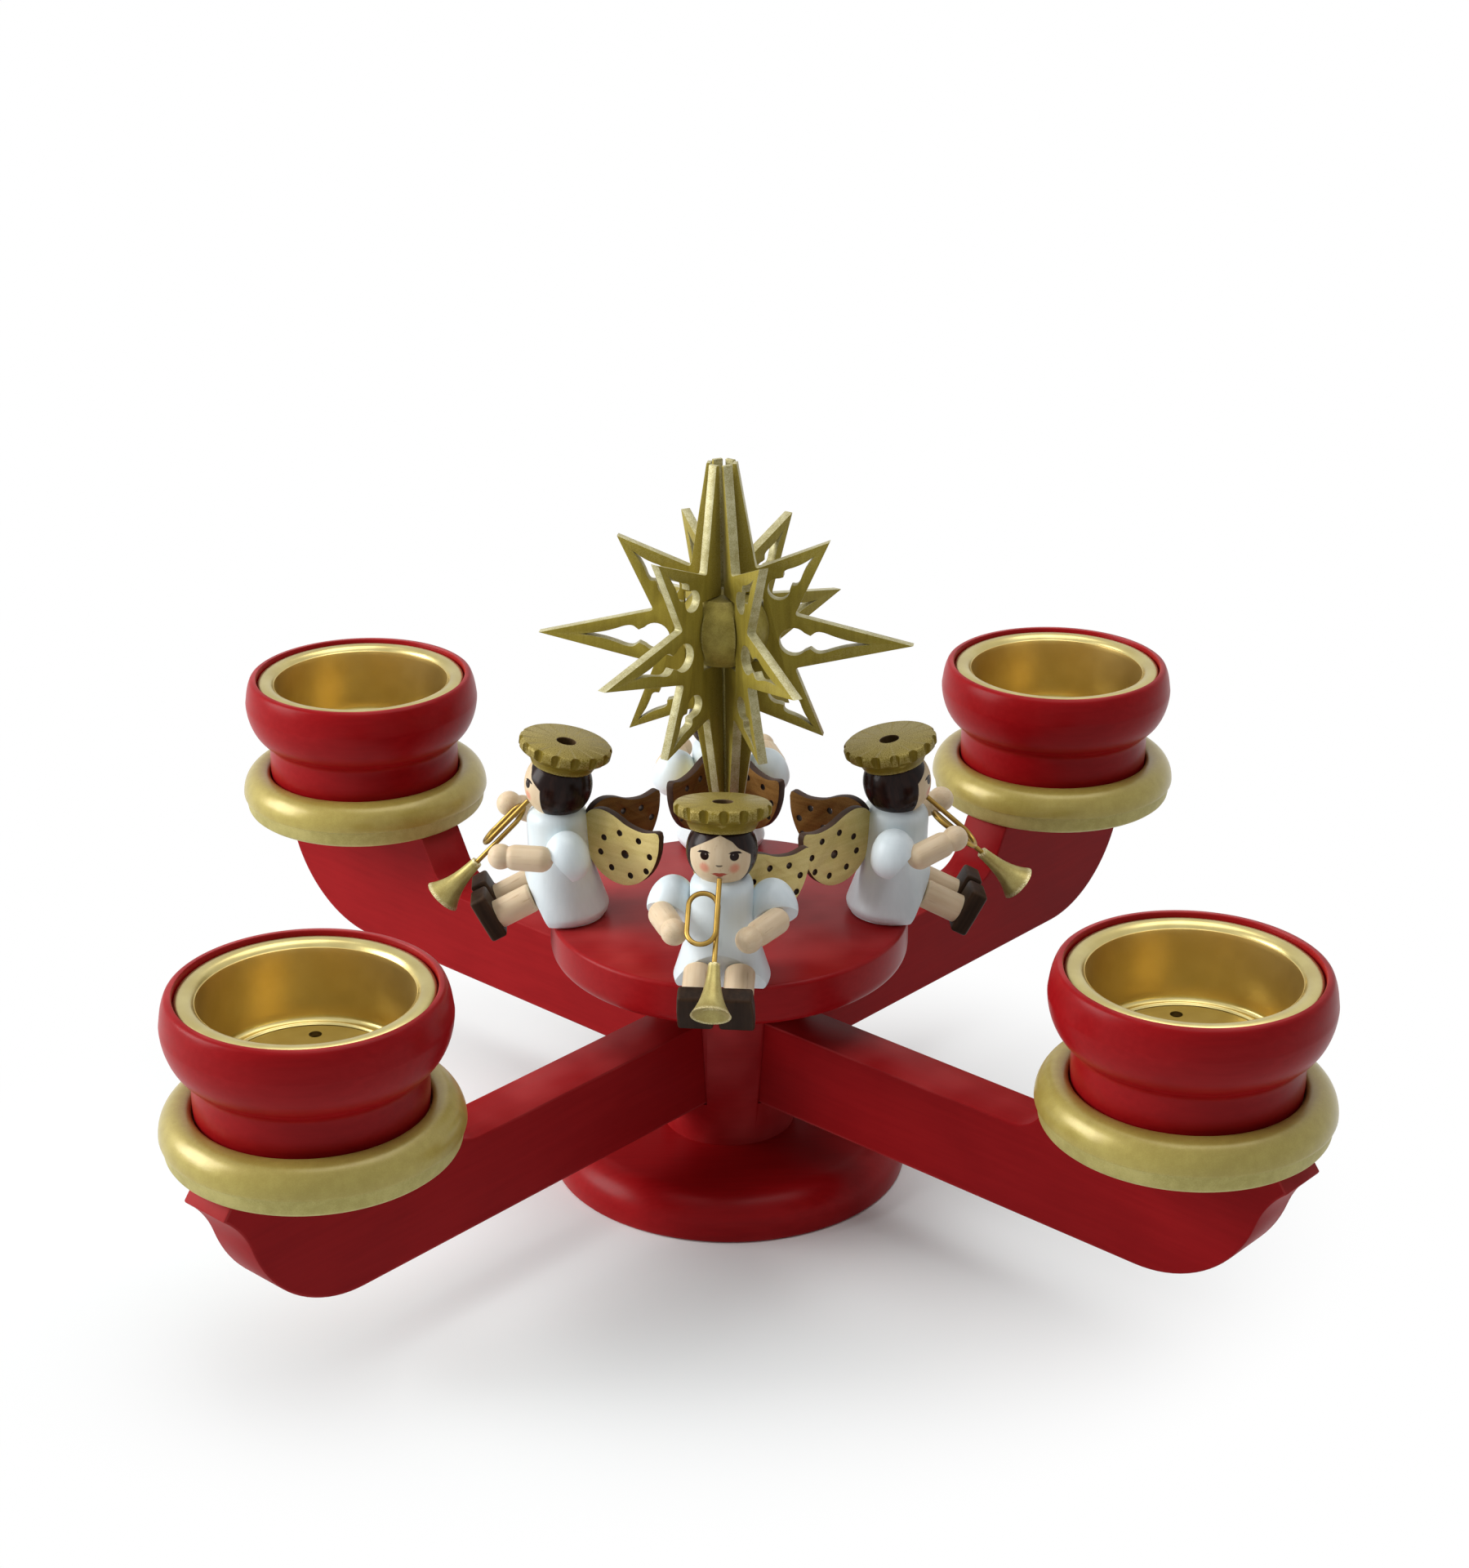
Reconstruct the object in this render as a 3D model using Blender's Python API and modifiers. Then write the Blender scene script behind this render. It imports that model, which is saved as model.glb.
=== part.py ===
"""Advent candle holder of turned and sawn wood: a foot, a post and a platform, four arms with tealight
cups, four seated angels with trumpets, and a star that turns on its stem.

Units are metres, +Z is up, the front looks along -Y and the origin is under the middle of the foot.
"""

from dataclasses import dataclass
from math import asin, atan2, cos, degrees, pi, radians, sin, sqrt, tan

import bmesh
import bpy
from mathutils import Matrix, Vector

# Clearance between touching pieces, overlap of glued shapes, and the merge distance
FIT = 0.0003
GLUE = 0.0005
MERGE = 0.00001

# Foot, post and platform
BASE_RADIUS = 0.0401
BASE_THICKNESS = 0.0100
BASE_EDGE_ROUND = 0.0070
BASE_BOTTOM_BREAK = 0.0006
POST_BOTTOM_RADIUS = 0.0148
POST_TOP_RADIUS = 0.0178
POST_LENGTH = 0.0411
TENON_RADIUS = 0.0070
TENON_LENGTH = 0.0050
PLATFORM_RADIUS = 0.0397
PLATFORM_THICKNESS = 0.0100
PLATFORM_TOP_ROUND = 0.0008
PLATFORM_BOTTOM_ROUND = 0.0032

# Sawn arms, each with a dowel glued in its inner end
ARM_COUNT = 4
ARM_THICKNESS = 0.0120
ARM_DEPTH = 0.0205
ARM_OVER_BASE = 0.0105
ARM_INNER_END = 0.0110
ARM_BLOCK_HEIGHT = 0.0322
ARM_BLOCK_BEFORE_CUP = 0.0266
ARM_RISE_RADIUS = 0.0090
ARM_RISE_ANGLE = 62.0
ARM_BELLY_BEFORE_CUP = 0.0057
ARM_BELLY_RADIUS = 0.0285
ARM_BELLY_SWEEP = 72.3
ARM_TIP_RADIUS = 0.0200
ARM_TIP_SWEEP = 33.0
ARM_TIP_LIP = 0.0023
DOWEL_RADIUS = 0.0030
DOWEL_REACH = 0.0055

# Drip dishes, tealight cups and metal inserts, turned about one axis on each arm
CUP_DISTANCE = 0.1209
DISH_RING_WIDTH = 0.0067
DISH_LAND_WIDTH = 0.0033
DISH_FOOT_STEP = 0.0010
DISH_FOOT_BREAK = 0.0008
DISH_BAND_HEIGHT = 0.0044
DISH_HEIGHT = 0.0103
DISH_RECESS_DEPTH = 0.0056
CUP_FOOT_RADIUS = 0.0228
CUP_FOOT_TAPER = 0.0004
CUP_FOOT_HEIGHT = 0.0131
CUP_NECK_RADIUS = 0.0225
CUP_NECK_HEIGHT = 0.0010
CUP_BELLY_RADIUS = 0.0279
CUP_BELLY_HEIGHT = 0.0228
CUP_HEIGHT = 0.0292
CUP_RIM_WIDTH = 0.0011
CUP_PEG_RADIUS = 0.0030
CUP_PEG_LENGTH = 0.0120
INSERT_FLANGE_RADIUS = 0.0250
INSERT_FLANGE_THICKNESS = 0.0012
INSERT_MOUTH_RADIUS = 0.0210
INSERT_FLOOR_RADIUS = 0.0204
INSERT_DEPTH = 0.0163
INSERT_SHEET = 0.0006
INSERT_STEP_RADIUS = 0.0165
INSERT_STEP_HEIGHT = 0.0005
INSERT_BELOW_RIM = 0.0014

# Star: flat half-star panels round a slotted ball on a stem that leans a little to the left
STAR_PANEL_COUNT = 6
STAR_TURN = -11.6
STAR_LEAN = 0.9
STAR_CENTRE_HEIGHT = 0.0637
STAR_PANEL_THICKNESS = 0.0021
STAR_TOP_HEIGHT = 0.0389
STAR_BOTTOM_DEPTH = 0.0399
STAR_TIP_WIDTH = 0.0009
STAR_SIDE_REACH = 0.0405
STAR_UPPER_SLANT_REACH = 0.0227
STAR_UPPER_SLANT_HEIGHT = 0.0224
STAR_LOWER_SLANT_REACH = 0.0212
STAR_LOWER_SLANT_DEPTH = 0.0213
STAR_SIDE_VALLEY_REACH = 0.0152
STAR_SIDE_VALLEY_HEIGHT = 0.0060
STAR_UPPER_VALLEY_REACH = 0.0070
STAR_UPPER_VALLEY_HEIGHT = 0.0160
STAR_VALLEY_ROUND = 0.0009
SIDE_LOBE_REACH = 0.0149
SIDE_LOBE_RADIUS = 0.0031
SIDE_DROP_LENGTH = 0.0130
SIDE_DROP_HALF_WIDTH = 0.0024
SLANT_LOBE_REACH = 0.0166
SLANT_LOBE_RADIUS = 0.0024
SLANT_DROP_LENGTH = 0.0077
SLANT_DROP_HALF_WIDTH = 0.0021
BALL_RADIUS = 0.0098
BALL_HALF_HEIGHT = 0.0073
BALL_LIFT = 0.0029
BALL_SLOT_DEPTH = 0.0013
STEM_RADIUS = 0.0020
STEM_SEAT_DEPTH = 0.0100
STEM_IN_BALL = 0.0040

# Angels, each seated on the platform with the lap over its rim
LAP_ANGLE = 28.0
LAP_START = 0.0029
DRESS_HEM_RADIUS = 0.0102
DRESS_HEM_TUCK = 0.0014
DRESS_HEM_HEIGHT = 0.0026
DRESS_WAIST_RADIUS = 0.0066
DRESS_WAIST_HEIGHT = 0.0145
DRESS_HEIGHT = 0.0255
DRESS_SHOULDER_ROUND = 0.0030
DRESS_LEAN = 2.5
HEAD_RADIUS = 0.00745
HEAD_HEIGHT = 0.0308
HEAD_BACK = 0.0009
HEAD_TILT = 11.0
CROWN_BAND_RADIUS = 0.0072
CROWN_BAND_HEIGHT = 0.0018
CROWN_BAND_START = 0.0045
CROWN_RIM_RADIUS = 0.0102
CROWN_HEIGHT = 0.0055
CROWN_RIM_ROUND = 0.0005
CROWN_HOLE_RADIUS = 0.0021
CROWN_HOLE_DEPTH = 0.0030
CROWN_NOTCHES = 12
CROWN_NOTCH_RADIUS = 0.0012
SLEEVE_RADIUS = 0.0051
SLEEVE_HALF_HEIGHT = 0.0054
SLEEVE_HEIGHT = 0.0180
SLEEVE_BACK = 0.0018
FOREARM_RADIUS = 0.0028
FOREARM_LENGTH = 0.0144
WRIST_RADIUS = 0.0023
ELBOW_OUT = 0.0018
ELBOW_SIDE = 0.0132
ELBOW_HEIGHT = 0.0172
LEG_RADIUS = 0.0032
LEG_LENGTH = 0.0087
LEG_SIDE = 0.0043
LEG_HEIGHT = 0.0054
SHOE_LENGTH = 0.0104
SHOE_WIDTH = 0.0074
SHOE_THICKNESS = 0.0038
SHOE_HEEL_BELOW_LEG = 0.0040
SHOE_ROUND = 0.0010
WING_THICKNESS = 0.0018
WING_SPREAD = 38.0
WING_SEAT = 0.0176
WING_LENGTH = 0.0205
WING_DEPTH = 0.0165
WING_HOLE_RADIUS = 0.0006
WING_EYE_RADIUS = 0.0009
WING_RING_HOLES = 8
MOUTH_ANGLE = 30.0
PIPE_RADIUS = 0.00055
PIPE_LENGTH = 0.0186
COIL_WIDTH = 0.0060
COIL_LENGTH = 0.0118
COIL_START = 0.0030
COIL_GAP = 0.0004
COIL_STEPS = 6
BELL_LENGTH = 0.0114
BELL_THROAT_RADIUS = 0.0012
BELL_MOUTH_RADIUS = 0.0042
BELL_WALL = 0.0005
BELL_CUP_DEPTH = 0.0030

# Steps round the turned pieces
ROUND_LARGE = 28
ROUND_CUP = 18
ROUND_ANGEL = 12
ROUND_SMALL = 8

# Heights that follow from the sizes above
POST_FOOT_Z = BASE_THICKNESS + FIT
POST_HEAD_Z = POST_FOOT_Z + POST_LENGTH
PLATFORM_FOOT_Z = POST_HEAD_Z + FIT
PLATFORM_TOP_Z = PLATFORM_FOOT_Z + PLATFORM_THICKNESS
TENON_TOP_Z = POST_HEAD_Z + TENON_LENGTH
STEM_FOOT_Z = PLATFORM_TOP_Z - STEM_SEAT_DEPTH
ARM_FOOT_Z = BASE_THICKNESS + ARM_OVER_BASE
ARM_MIDDLE_Z = ARM_FOOT_Z + ARM_DEPTH / 2
DISH_FOOT_Z = ARM_FOOT_Z + ARM_BLOCK_HEIGHT + FIT
DISH_TOP_Z = DISH_FOOT_Z + DISH_HEIGHT
DISH_FLOOR_Z = DISH_TOP_Z - DISH_RECESS_DEPTH
CUP_FOOT_Z = DISH_FLOOR_Z + FIT
CUP_RIM_Z = CUP_FOOT_Z + CUP_HEIGHT
PEG_END_Z = CUP_FOOT_Z - CUP_PEG_LENGTH
INSERT_TOP_Z = CUP_RIM_Z - INSERT_BELOW_RIM
STAR_CENTRE_Z = PLATFORM_TOP_Z + STAR_CENTRE_HEIGHT
STEM_SEAT_Z = PLATFORM_TOP_Z - STEM_SEAT_DEPTH / 2

# Sizes that follow from a neighbour
SEAT_DISTANCE = PLATFORM_RADIUS - LAP_START
DISH_RECESS_RADIUS = CUP_FOOT_RADIUS + FIT
STAR_INNER_EDGE = max(STEM_RADIUS + FIT, (STAR_PANEL_THICKNESS + FIT) / 2 / tan(pi / STAR_PANEL_COUNT))
STAR_NOTCH_REACH = BALL_RADIUS - BALL_SLOT_DEPTH
STAR_NOTCH_TOP = BALL_LIFT + BALL_HALF_HEIGHT + FIT
STAR_NOTCH_BOTTOM = BALL_LIFT - BALL_HALF_HEIGHT - FIT
SLEEVE_REACH = DRESS_WAIST_RADIUS + SLEEVE_RADIUS - 2 * GLUE
SLEEVE_SIDE = sqrt(SLEEVE_REACH ** 2 - SLEEVE_BACK ** 2)
COIL_LIFT = PIPE_RADIUS + COIL_GAP / 2
CROWN_HOLE_FLOOR = CROWN_BAND_START + CROWN_HEIGHT - CROWN_HOLE_DEPTH

# Colours of the paints, the bare wood and the metal, as red, green, blue
RED_PAINT = (0.42, 0.012, 0.016)
DARK_RED_PAINT = (0.36, 0.010, 0.014)
GOLD_PAINT = (0.36, 0.29, 0.085)
WHITE_PAINT = (0.72, 0.75, 0.77)
BARE_WOOD = (0.72, 0.50, 0.31)
BRASS = (0.55, 0.36, 0.11)


@dataclass
class Seat:
    """How one angel was set by hand: angles in degrees, and shifts in metres."""

    side: float
    place_turn: float = 0.0
    body_turn: float = 0.0
    wings_turn: float = 0.0
    shift: float = 0.0
    right_inward: float = 22.0
    right_upward: float = 8.0
    left_inward: float = 22.0
    left_upward: float = 8.0
    left_ahead: float = 0.0
    left_raise: float = 0.0
    trumpet_drop: float = 46.5


ANGELS = {
    "front": Seat(side=0.0, place_turn=-5.5, body_turn=-7.5, wings_turn=-12.0, right_upward=0.0,
                  left_inward=36.0, left_upward=-7.0, left_ahead=0.0010, trumpet_drop=40.0),
    "right": Seat(side=90.0, place_turn=-3.5, shift=-0.0008, right_inward=17.0, right_upward=20.0,
                  left_upward=26.0, trumpet_drop=42.5),
    "back": Seat(side=180.0, right_inward=14.0),
    "left": Seat(side=-90.0, right_upward=26.0, left_inward=12.0, left_upward=0.0, left_raise=0.0012),
}


def new_collection(name):
    """Add a collection to the scene."""
    group = bpy.data.collections.new(name)
    bpy.context.scene.collection.children.link(group)
    return group


def material(name, colour, roughness, metallic=0.0):
    """Make a plain paint or metal."""
    finish = bpy.data.materials.new(name)
    finish.use_nodes = True
    shader = finish.node_tree.nodes["Principled BSDF"]
    shader.inputs["Base Color"].default_value = (*colour, 1.0)
    shader.inputs["Roughness"].default_value = roughness
    shader.inputs["Metallic"].default_value = metallic
    return finish


for leftover in list(bpy.data.objects):
    bpy.data.objects.remove(leftover, do_unlink=True)
PARTS = new_collection("advent_candle_holder")
CUTTERS = new_collection("cutters")
RED = material("red_paint", RED_PAINT, 0.35)
DARK_RED = material("dark_red_paint", DARK_RED_PAINT, 0.4)
GOLD = material("gold_paint", GOLD_PAINT, 0.4, 0.6)
WHITE = material("white_paint", WHITE_PAINT, 0.35)
WOOD = material("bare_wood", BARE_WOOD, 0.5)
METAL = material("brass", BRASS, 0.25, 1.0)


def add(name, data, finish=None, parent=None):
    """Put a mesh in the scene: a piece if it has a finish, or else a cutter."""
    item = bpy.data.objects.new(name, data)
    item.parent = parent
    if finish:
        PARTS.objects.link(item)
        data.materials.append(finish)
    else:
        CUTTERS.objects.link(item)
        item.display_type = "WIRE"
        item.hide_render = True
    return item


def empty(name, location=(0.0, 0.0, 0.0), turn=0.0):
    """Add an empty that places the pieces under it."""
    item = bpy.data.objects.new(name, None)
    PARTS.objects.link(item)
    item.location = location
    item.rotation_euler.z = radians(turn)
    return item


def arc(centre, radii, start, end, count):
    """Points on an arc of an ellipse, from one angle to another in degrees."""
    step = (end - start) / (count - 1)
    angles = [radians(start + step * index) for index in range(count)]
    return [(centre[0] + radii[0] * cos(a), centre[1] + radii[1] * sin(a)) for a in angles]


def turned(name, profile, steps, finish=None, parent=None, closed=False):
    """Turn a profile of (radius, height) points about Z; it runs down the outer side, top to bottom."""
    mesh = bpy.data.meshes.new(name)
    edges = [(index, index + 1) for index in range(len(profile) - 1)]
    if closed:
        edges.append((len(profile) - 1, 0))
    mesh.from_pydata([(radius, 0.0, height) for radius, height in profile], edges, [])
    item = add(name, mesh, finish, parent)
    screw = item.modifiers.new("Turn", "SCREW")
    screw.angle = 2 * pi
    screw.steps = steps
    screw.render_steps = steps
    screw.use_merge_vertices = True
    screw.merge_threshold = MERGE
    screw.use_smooth_shade = True
    return item


def primitive(name, make, finish=None, parent=None):
    """A mesh that starts as one of Blender's primitives."""
    mesh = bpy.data.meshes.new(name)
    shape = bmesh.new()
    make(shape)
    shape.to_mesh(mesh)
    shape.free()
    mesh.shade_smooth()
    mesh.set_sharp_from_angle(angle=radians(35.0))
    return add(name, mesh, finish, parent)


def cylinder(name, radius, low, high, steps, finish=None, parent=None):
    """A round bar along Z from one height to another."""
    middle = Matrix.Translation((0.0, 0.0, (low + high) / 2))

    def make(shape):
        bmesh.ops.create_cone(shape, cap_ends=True, segments=steps, radius1=radius, radius2=radius,
                              depth=high - low, matrix=middle)

    return primitive(name, make, finish, parent)


def sphere(name, radius, finish=None, parent=None):
    """A round ball about the origin."""

    def make(shape):
        bmesh.ops.create_uvsphere(shape, u_segments=ROUND_ANGEL, v_segments=ROUND_SMALL, radius=radius)

    return primitive(name, make, finish, parent)


def block(name, size, centre, finish=None, parent=None):
    """A box of a given size about a centre."""
    place = Matrix.Translation(centre) @ Matrix.Diagonal((*size, 1.0))

    def make(shape):
        bmesh.ops.create_cube(shape, size=1.0, matrix=place)

    return primitive(name, make, finish, parent)


def drawn_mesh(name, curve):
    """A curve's mesh with its caps welded; the curve itself is removed."""
    drawn = bpy.data.objects.new(name, curve)
    CUTTERS.objects.link(drawn)
    bpy.context.view_layer.update()
    graph = bpy.context.evaluated_depsgraph_get()
    mesh = bpy.data.meshes.new_from_object(drawn.evaluated_get(graph), depsgraph=graph)
    bpy.data.objects.remove(drawn, do_unlink=True)
    shape = bmesh.new()
    shape.from_mesh(mesh)
    bmesh.ops.remove_doubles(shape, verts=shape.verts, dist=MERGE)
    shape.to_mesh(mesh)
    shape.free()
    mesh.materials.clear()
    return mesh


def add_spline(curve, points, cyclic):
    """Draw one run of straight stretches in a curve."""
    spline = curve.splines.new("POLY")
    spline.points.add(len(points) - 1)
    for point, spot in zip(spline.points, points):
        point.co = (*spot, 1.0)
    spline.use_cyclic_u = cyclic


def plate(name, loops, thickness, finish=None, parent=None):
    """A flat board: an outline and its holes in X and Y, half the thickness to each side in Z."""
    curve = bpy.data.curves.new(name, "CURVE")
    curve.dimensions = "2D"
    curve.fill_mode = "BOTH"
    curve.extrude = thickness / 2
    for loop in loops:
        add_spline(curve, [(across, up, 0.0) for across, up in loop], True)
    return add(name, drawn_mesh(name, curve), finish, parent)


def wire(name, points, radius, finish=None, parent=None):
    """A round wire through a list of points."""
    curve = bpy.data.curves.new(name, "CURVE")
    curve.dimensions = "3D"
    curve.bevel_depth = radius
    curve.bevel_resolution = 1
    curve.use_fill_caps = True
    add_spline(curve, points, False)
    mesh = drawn_mesh(name, curve)
    mesh.shade_smooth()
    return add(name, mesh, finish, parent)


def combine(item, other, operation):
    """Cut a cutter out of a piece, or glue another shape on."""
    step = item.modifiers.new(other.name, "BOOLEAN")
    step.operation = operation
    step.solver = "EXACT"
    step.object = other


def carve(item, cutter):
    """Cut one shape out of a piece."""
    combine(item, cutter, "DIFFERENCE")


def glue(item, other):
    """Join one shape to a piece."""
    combine(item, other, "UNION")


def aimed(place, direction):
    """A matrix that puts an object's Z along a direction at a place."""
    turn = Vector(direction).to_track_quat("Z", "Y").to_matrix().to_4x4()
    return Matrix.Translation(place) @ turn


def upright(direction, place=(0.0, 0.0, 0.0)):
    """A matrix that stands a board up: its X along a level direction, its Y along +Z."""
    along = Vector(direction).normalized()
    up = Vector((0.0, 0.0, 1.0))
    turn = Matrix((along, up, along.cross(up))).transposed().to_4x4()
    return Matrix.Translation(place) @ turn


def make_base():
    """The turned foot, with a blind hole for the post's tenon."""
    rounding = arc((BASE_RADIUS - BASE_EDGE_ROUND, BASE_THICKNESS - BASE_EDGE_ROUND),
                   (BASE_EDGE_ROUND, BASE_EDGE_ROUND), 90.0, 0.0, 5)
    profile = [(0.0, BASE_THICKNESS)] + rounding
    profile += [(BASE_RADIUS, BASE_BOTTOM_BREAK), (BASE_RADIUS - BASE_BOTTOM_BREAK, 0.0), (0.0, 0.0)]
    base = turned("base_disc", profile, ROUND_LARGE, RED)
    carve(base, cylinder("base_tenon_hole", TENON_RADIUS + FIT, POST_FOOT_Z - TENON_LENGTH - FIT,
                         POST_FOOT_Z, ROUND_CUP))


def arm_places():
    """The name and the direction of each arm, round from the back right."""
    names = ("back_right", "back_left", "front_left", "front_right")
    for index, name in enumerate(names):
        turn = 2 * pi * (index + 0.5) / ARM_COUNT
        yield name, Vector((cos(turn), sin(turn), 0.0))


def make_post():
    """The tapered post with a tenon at each end, a notch and a dowel hole for each arm."""
    profile = [(0.0, TENON_TOP_Z), (TENON_RADIUS, TENON_TOP_Z), (TENON_RADIUS, POST_HEAD_Z),
               (POST_TOP_RADIUS, POST_HEAD_Z), (POST_BOTTOM_RADIUS, POST_FOOT_Z), (TENON_RADIUS, POST_FOOT_Z),
               (TENON_RADIUS, POST_FOOT_Z - TENON_LENGTH), (0.0, POST_FOOT_Z - TENON_LENGTH)]
    post = turned("centre_post", profile, ROUND_CUP, RED)
    notch_start = ARM_INNER_END - FIT
    notch_length = POST_TOP_RADIUS + POST_BOTTOM_RADIUS
    for name, direction in arm_places():
        notch = block(f"post_notch_{name}", (notch_length, ARM_DEPTH + 2 * FIT, ARM_THICKNESS + 2 * FIT),
                      (notch_start + notch_length / 2, ARM_DEPTH / 2, 0.0))
        notch.matrix_local = upright(direction, (0.0, 0.0, ARM_FOOT_Z))
        carve(post, notch)
        hole = cylinder(f"post_dowel_hole_{name}", DOWEL_RADIUS + FIT, ARM_INNER_END - DOWEL_REACH - FIT,
                        ARM_INNER_END, ROUND_SMALL)
        hole.matrix_local = aimed((0.0, 0.0, ARM_MIDDLE_Z), direction)
        carve(post, hole)
    carve(post, cylinder("post_stem_hole", STEM_RADIUS + FIT, STEM_FOOT_Z - FIT, TENON_TOP_Z + FIT,
                         ROUND_ANGEL))


def make_platform():
    """The turned disc that the angels sit on, with holes for the tenon and for the star's stem."""
    top = arc((PLATFORM_RADIUS - PLATFORM_TOP_ROUND, PLATFORM_TOP_Z - PLATFORM_TOP_ROUND),
              (PLATFORM_TOP_ROUND, PLATFORM_TOP_ROUND), 90.0, 0.0, 2)
    bottom = arc((PLATFORM_RADIUS - PLATFORM_BOTTOM_ROUND, PLATFORM_FOOT_Z + PLATFORM_BOTTOM_ROUND),
                 (PLATFORM_BOTTOM_ROUND, PLATFORM_BOTTOM_ROUND), 0.0, -90.0, 3)
    profile = [(0.0, PLATFORM_TOP_Z)] + top + bottom + [(0.0, PLATFORM_FOOT_Z)]
    platform = turned("platform", profile, ROUND_LARGE, RED)
    carve(platform, cylinder("platform_tenon_hole", TENON_RADIUS + FIT, PLATFORM_FOOT_Z - FIT,
                             TENON_TOP_Z + FIT, ROUND_CUP))
    carve(platform, cylinder("platform_stem_hole", STEM_RADIUS + FIT, PLATFORM_FOOT_Z,
                             PLATFORM_TOP_Z + FIT, ROUND_ANGEL))


def arm_outline():
    """The sawn outline of an arm: distance along it and height over its underside."""
    belly_centre = (CUP_DISTANCE - ARM_BELLY_BEFORE_CUP, ARM_BELLY_RADIUS)
    belly_end = ARM_BELLY_SWEEP - 90.0
    belly = arc(belly_centre, (ARM_BELLY_RADIUS, ARM_BELLY_RADIUS), -90.0, belly_end, 9)
    turn = radians(belly_end)
    tip_centre = (belly[-1][0] + ARM_TIP_RADIUS * cos(turn), belly[-1][1] + ARM_TIP_RADIUS * sin(turn))
    start = 180.0 + belly_end
    tip = arc(tip_centre, (ARM_TIP_RADIUS, ARM_TIP_RADIUS), start, start - ARM_TIP_SWEEP, 5)
    lip = [(tip[-1][0] - ARM_TIP_LIP, ARM_BLOCK_HEIGHT)]
    block_start = CUP_DISTANCE - ARM_BLOCK_BEFORE_CUP
    rise_turn = radians(ARM_RISE_ANGLE)
    rise_height = ARM_RISE_RADIUS * (1 - cos(rise_turn))
    slope = (ARM_BLOCK_HEIGHT - ARM_DEPTH - rise_height) / tan(rise_turn)
    rise_start = block_start - slope - ARM_RISE_RADIUS * sin(rise_turn)
    rise = arc((rise_start, ARM_DEPTH + ARM_RISE_RADIUS), (ARM_RISE_RADIUS, ARM_RISE_RADIUS),
               ARM_RISE_ANGLE - 90.0, -90.0, 5)
    inner_end = [(ARM_INNER_END, ARM_DEPTH), (ARM_INNER_END, 0.0)]
    return belly + tip[1:] + lip + [(block_start, ARM_BLOCK_HEIGHT)] + rise + inner_end


def make_arms():
    """Sawn arms, each with its dowel, bored for the peg of its cup."""
    for name, direction in arm_places():
        arm = plate(f"arm_{name}", [arm_outline()], ARM_THICKNESS, DARK_RED)
        arm.matrix_local = upright(direction, (0.0, 0.0, ARM_FOOT_Z))
        dowel = cylinder(f"arm_dowel_{name}", DOWEL_RADIUS, ARM_INNER_END - DOWEL_REACH,
                         ARM_INNER_END + DOWEL_REACH, ROUND_SMALL)
        dowel.matrix_local = aimed((0.0, 0.0, ARM_MIDDLE_Z), direction)
        glue(arm, dowel)
        hole = cylinder(f"arm_peg_hole_{name}", CUP_PEG_RADIUS + FIT, PEG_END_Z - FIT, DISH_FOOT_Z,
                        ROUND_SMALL)
        hole.location = direction * CUP_DISTANCE
        carve(arm, hole)


def dish_profile():
    """The drip dish: a flat land, a rounded edge and a plain band, with a recess for the cup's foot."""
    bore = CUP_PEG_RADIUS + FIT
    land_end = DISH_RECESS_RADIUS + DISH_LAND_WIDTH
    ring_foot = DISH_FOOT_Z + DISH_BAND_HEIGHT
    edge_width = DISH_RING_WIDTH - DISH_LAND_WIDTH
    ring = arc((land_end, ring_foot), (edge_width, DISH_TOP_Z - ring_foot), 90.0, 0.0, 5)
    band_radius = land_end + edge_width - DISH_FOOT_STEP
    inside = [(bore, DISH_FLOOR_Z), (DISH_RECESS_RADIUS, DISH_FLOOR_Z), (DISH_RECESS_RADIUS, DISH_TOP_Z)]
    band = [(band_radius, DISH_FOOT_Z + DISH_FOOT_BREAK), (band_radius - DISH_FOOT_BREAK, DISH_FOOT_Z)]
    return inside + ring + band + [(bore, DISH_FOOT_Z)]


def cup_profile():
    """The cup: a bore for the insert, a round bowl, a neck, a foot that fits the dish, and a peg."""
    neck_z = CUP_FOOT_Z + CUP_FOOT_HEIGHT
    bead_z = neck_z - CUP_NECK_HEIGHT
    belly_z = CUP_FOOT_Z + CUP_BELLY_HEIGHT
    ledge_z = INSERT_TOP_Z - INSERT_FLANGE_THICKNESS - FIT
    flange_bore = INSERT_FLANGE_RADIUS + FIT
    bore = INSERT_MOUTH_RADIUS + INSERT_SHEET + FIT
    floor_bore = INSERT_FLOOR_RADIUS + INSERT_SHEET + FIT
    bore_floor = INSERT_TOP_Z - INSERT_DEPTH - INSERT_SHEET - FIT
    inside = [(0.0, bore_floor), (floor_bore, bore_floor), (bore, ledge_z), (flange_bore, ledge_z),
              (flange_bore, CUP_RIM_Z)]
    rim_radius = flange_bore + CUP_RIM_WIDTH
    shoulder = CUP_BELLY_RADIUS - rim_radius
    upper = arc((rim_radius, belly_z), (shoulder, CUP_RIM_Z - belly_z), 80.0, 30.0, 2)
    lower = arc((CUP_NECK_RADIUS, belly_z), (CUP_BELLY_RADIUS - CUP_NECK_RADIUS, belly_z - neck_z),
                0.0, -90.0, 6)
    foot = [(CUP_FOOT_RADIUS, bead_z), (CUP_FOOT_RADIUS, DISH_TOP_Z),
            (CUP_FOOT_RADIUS - CUP_FOOT_TAPER, CUP_FOOT_Z), (CUP_PEG_RADIUS, CUP_FOOT_Z),
            (CUP_PEG_RADIUS, PEG_END_Z), (0.0, PEG_END_Z)]
    return inside + upper + lower + foot


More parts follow.
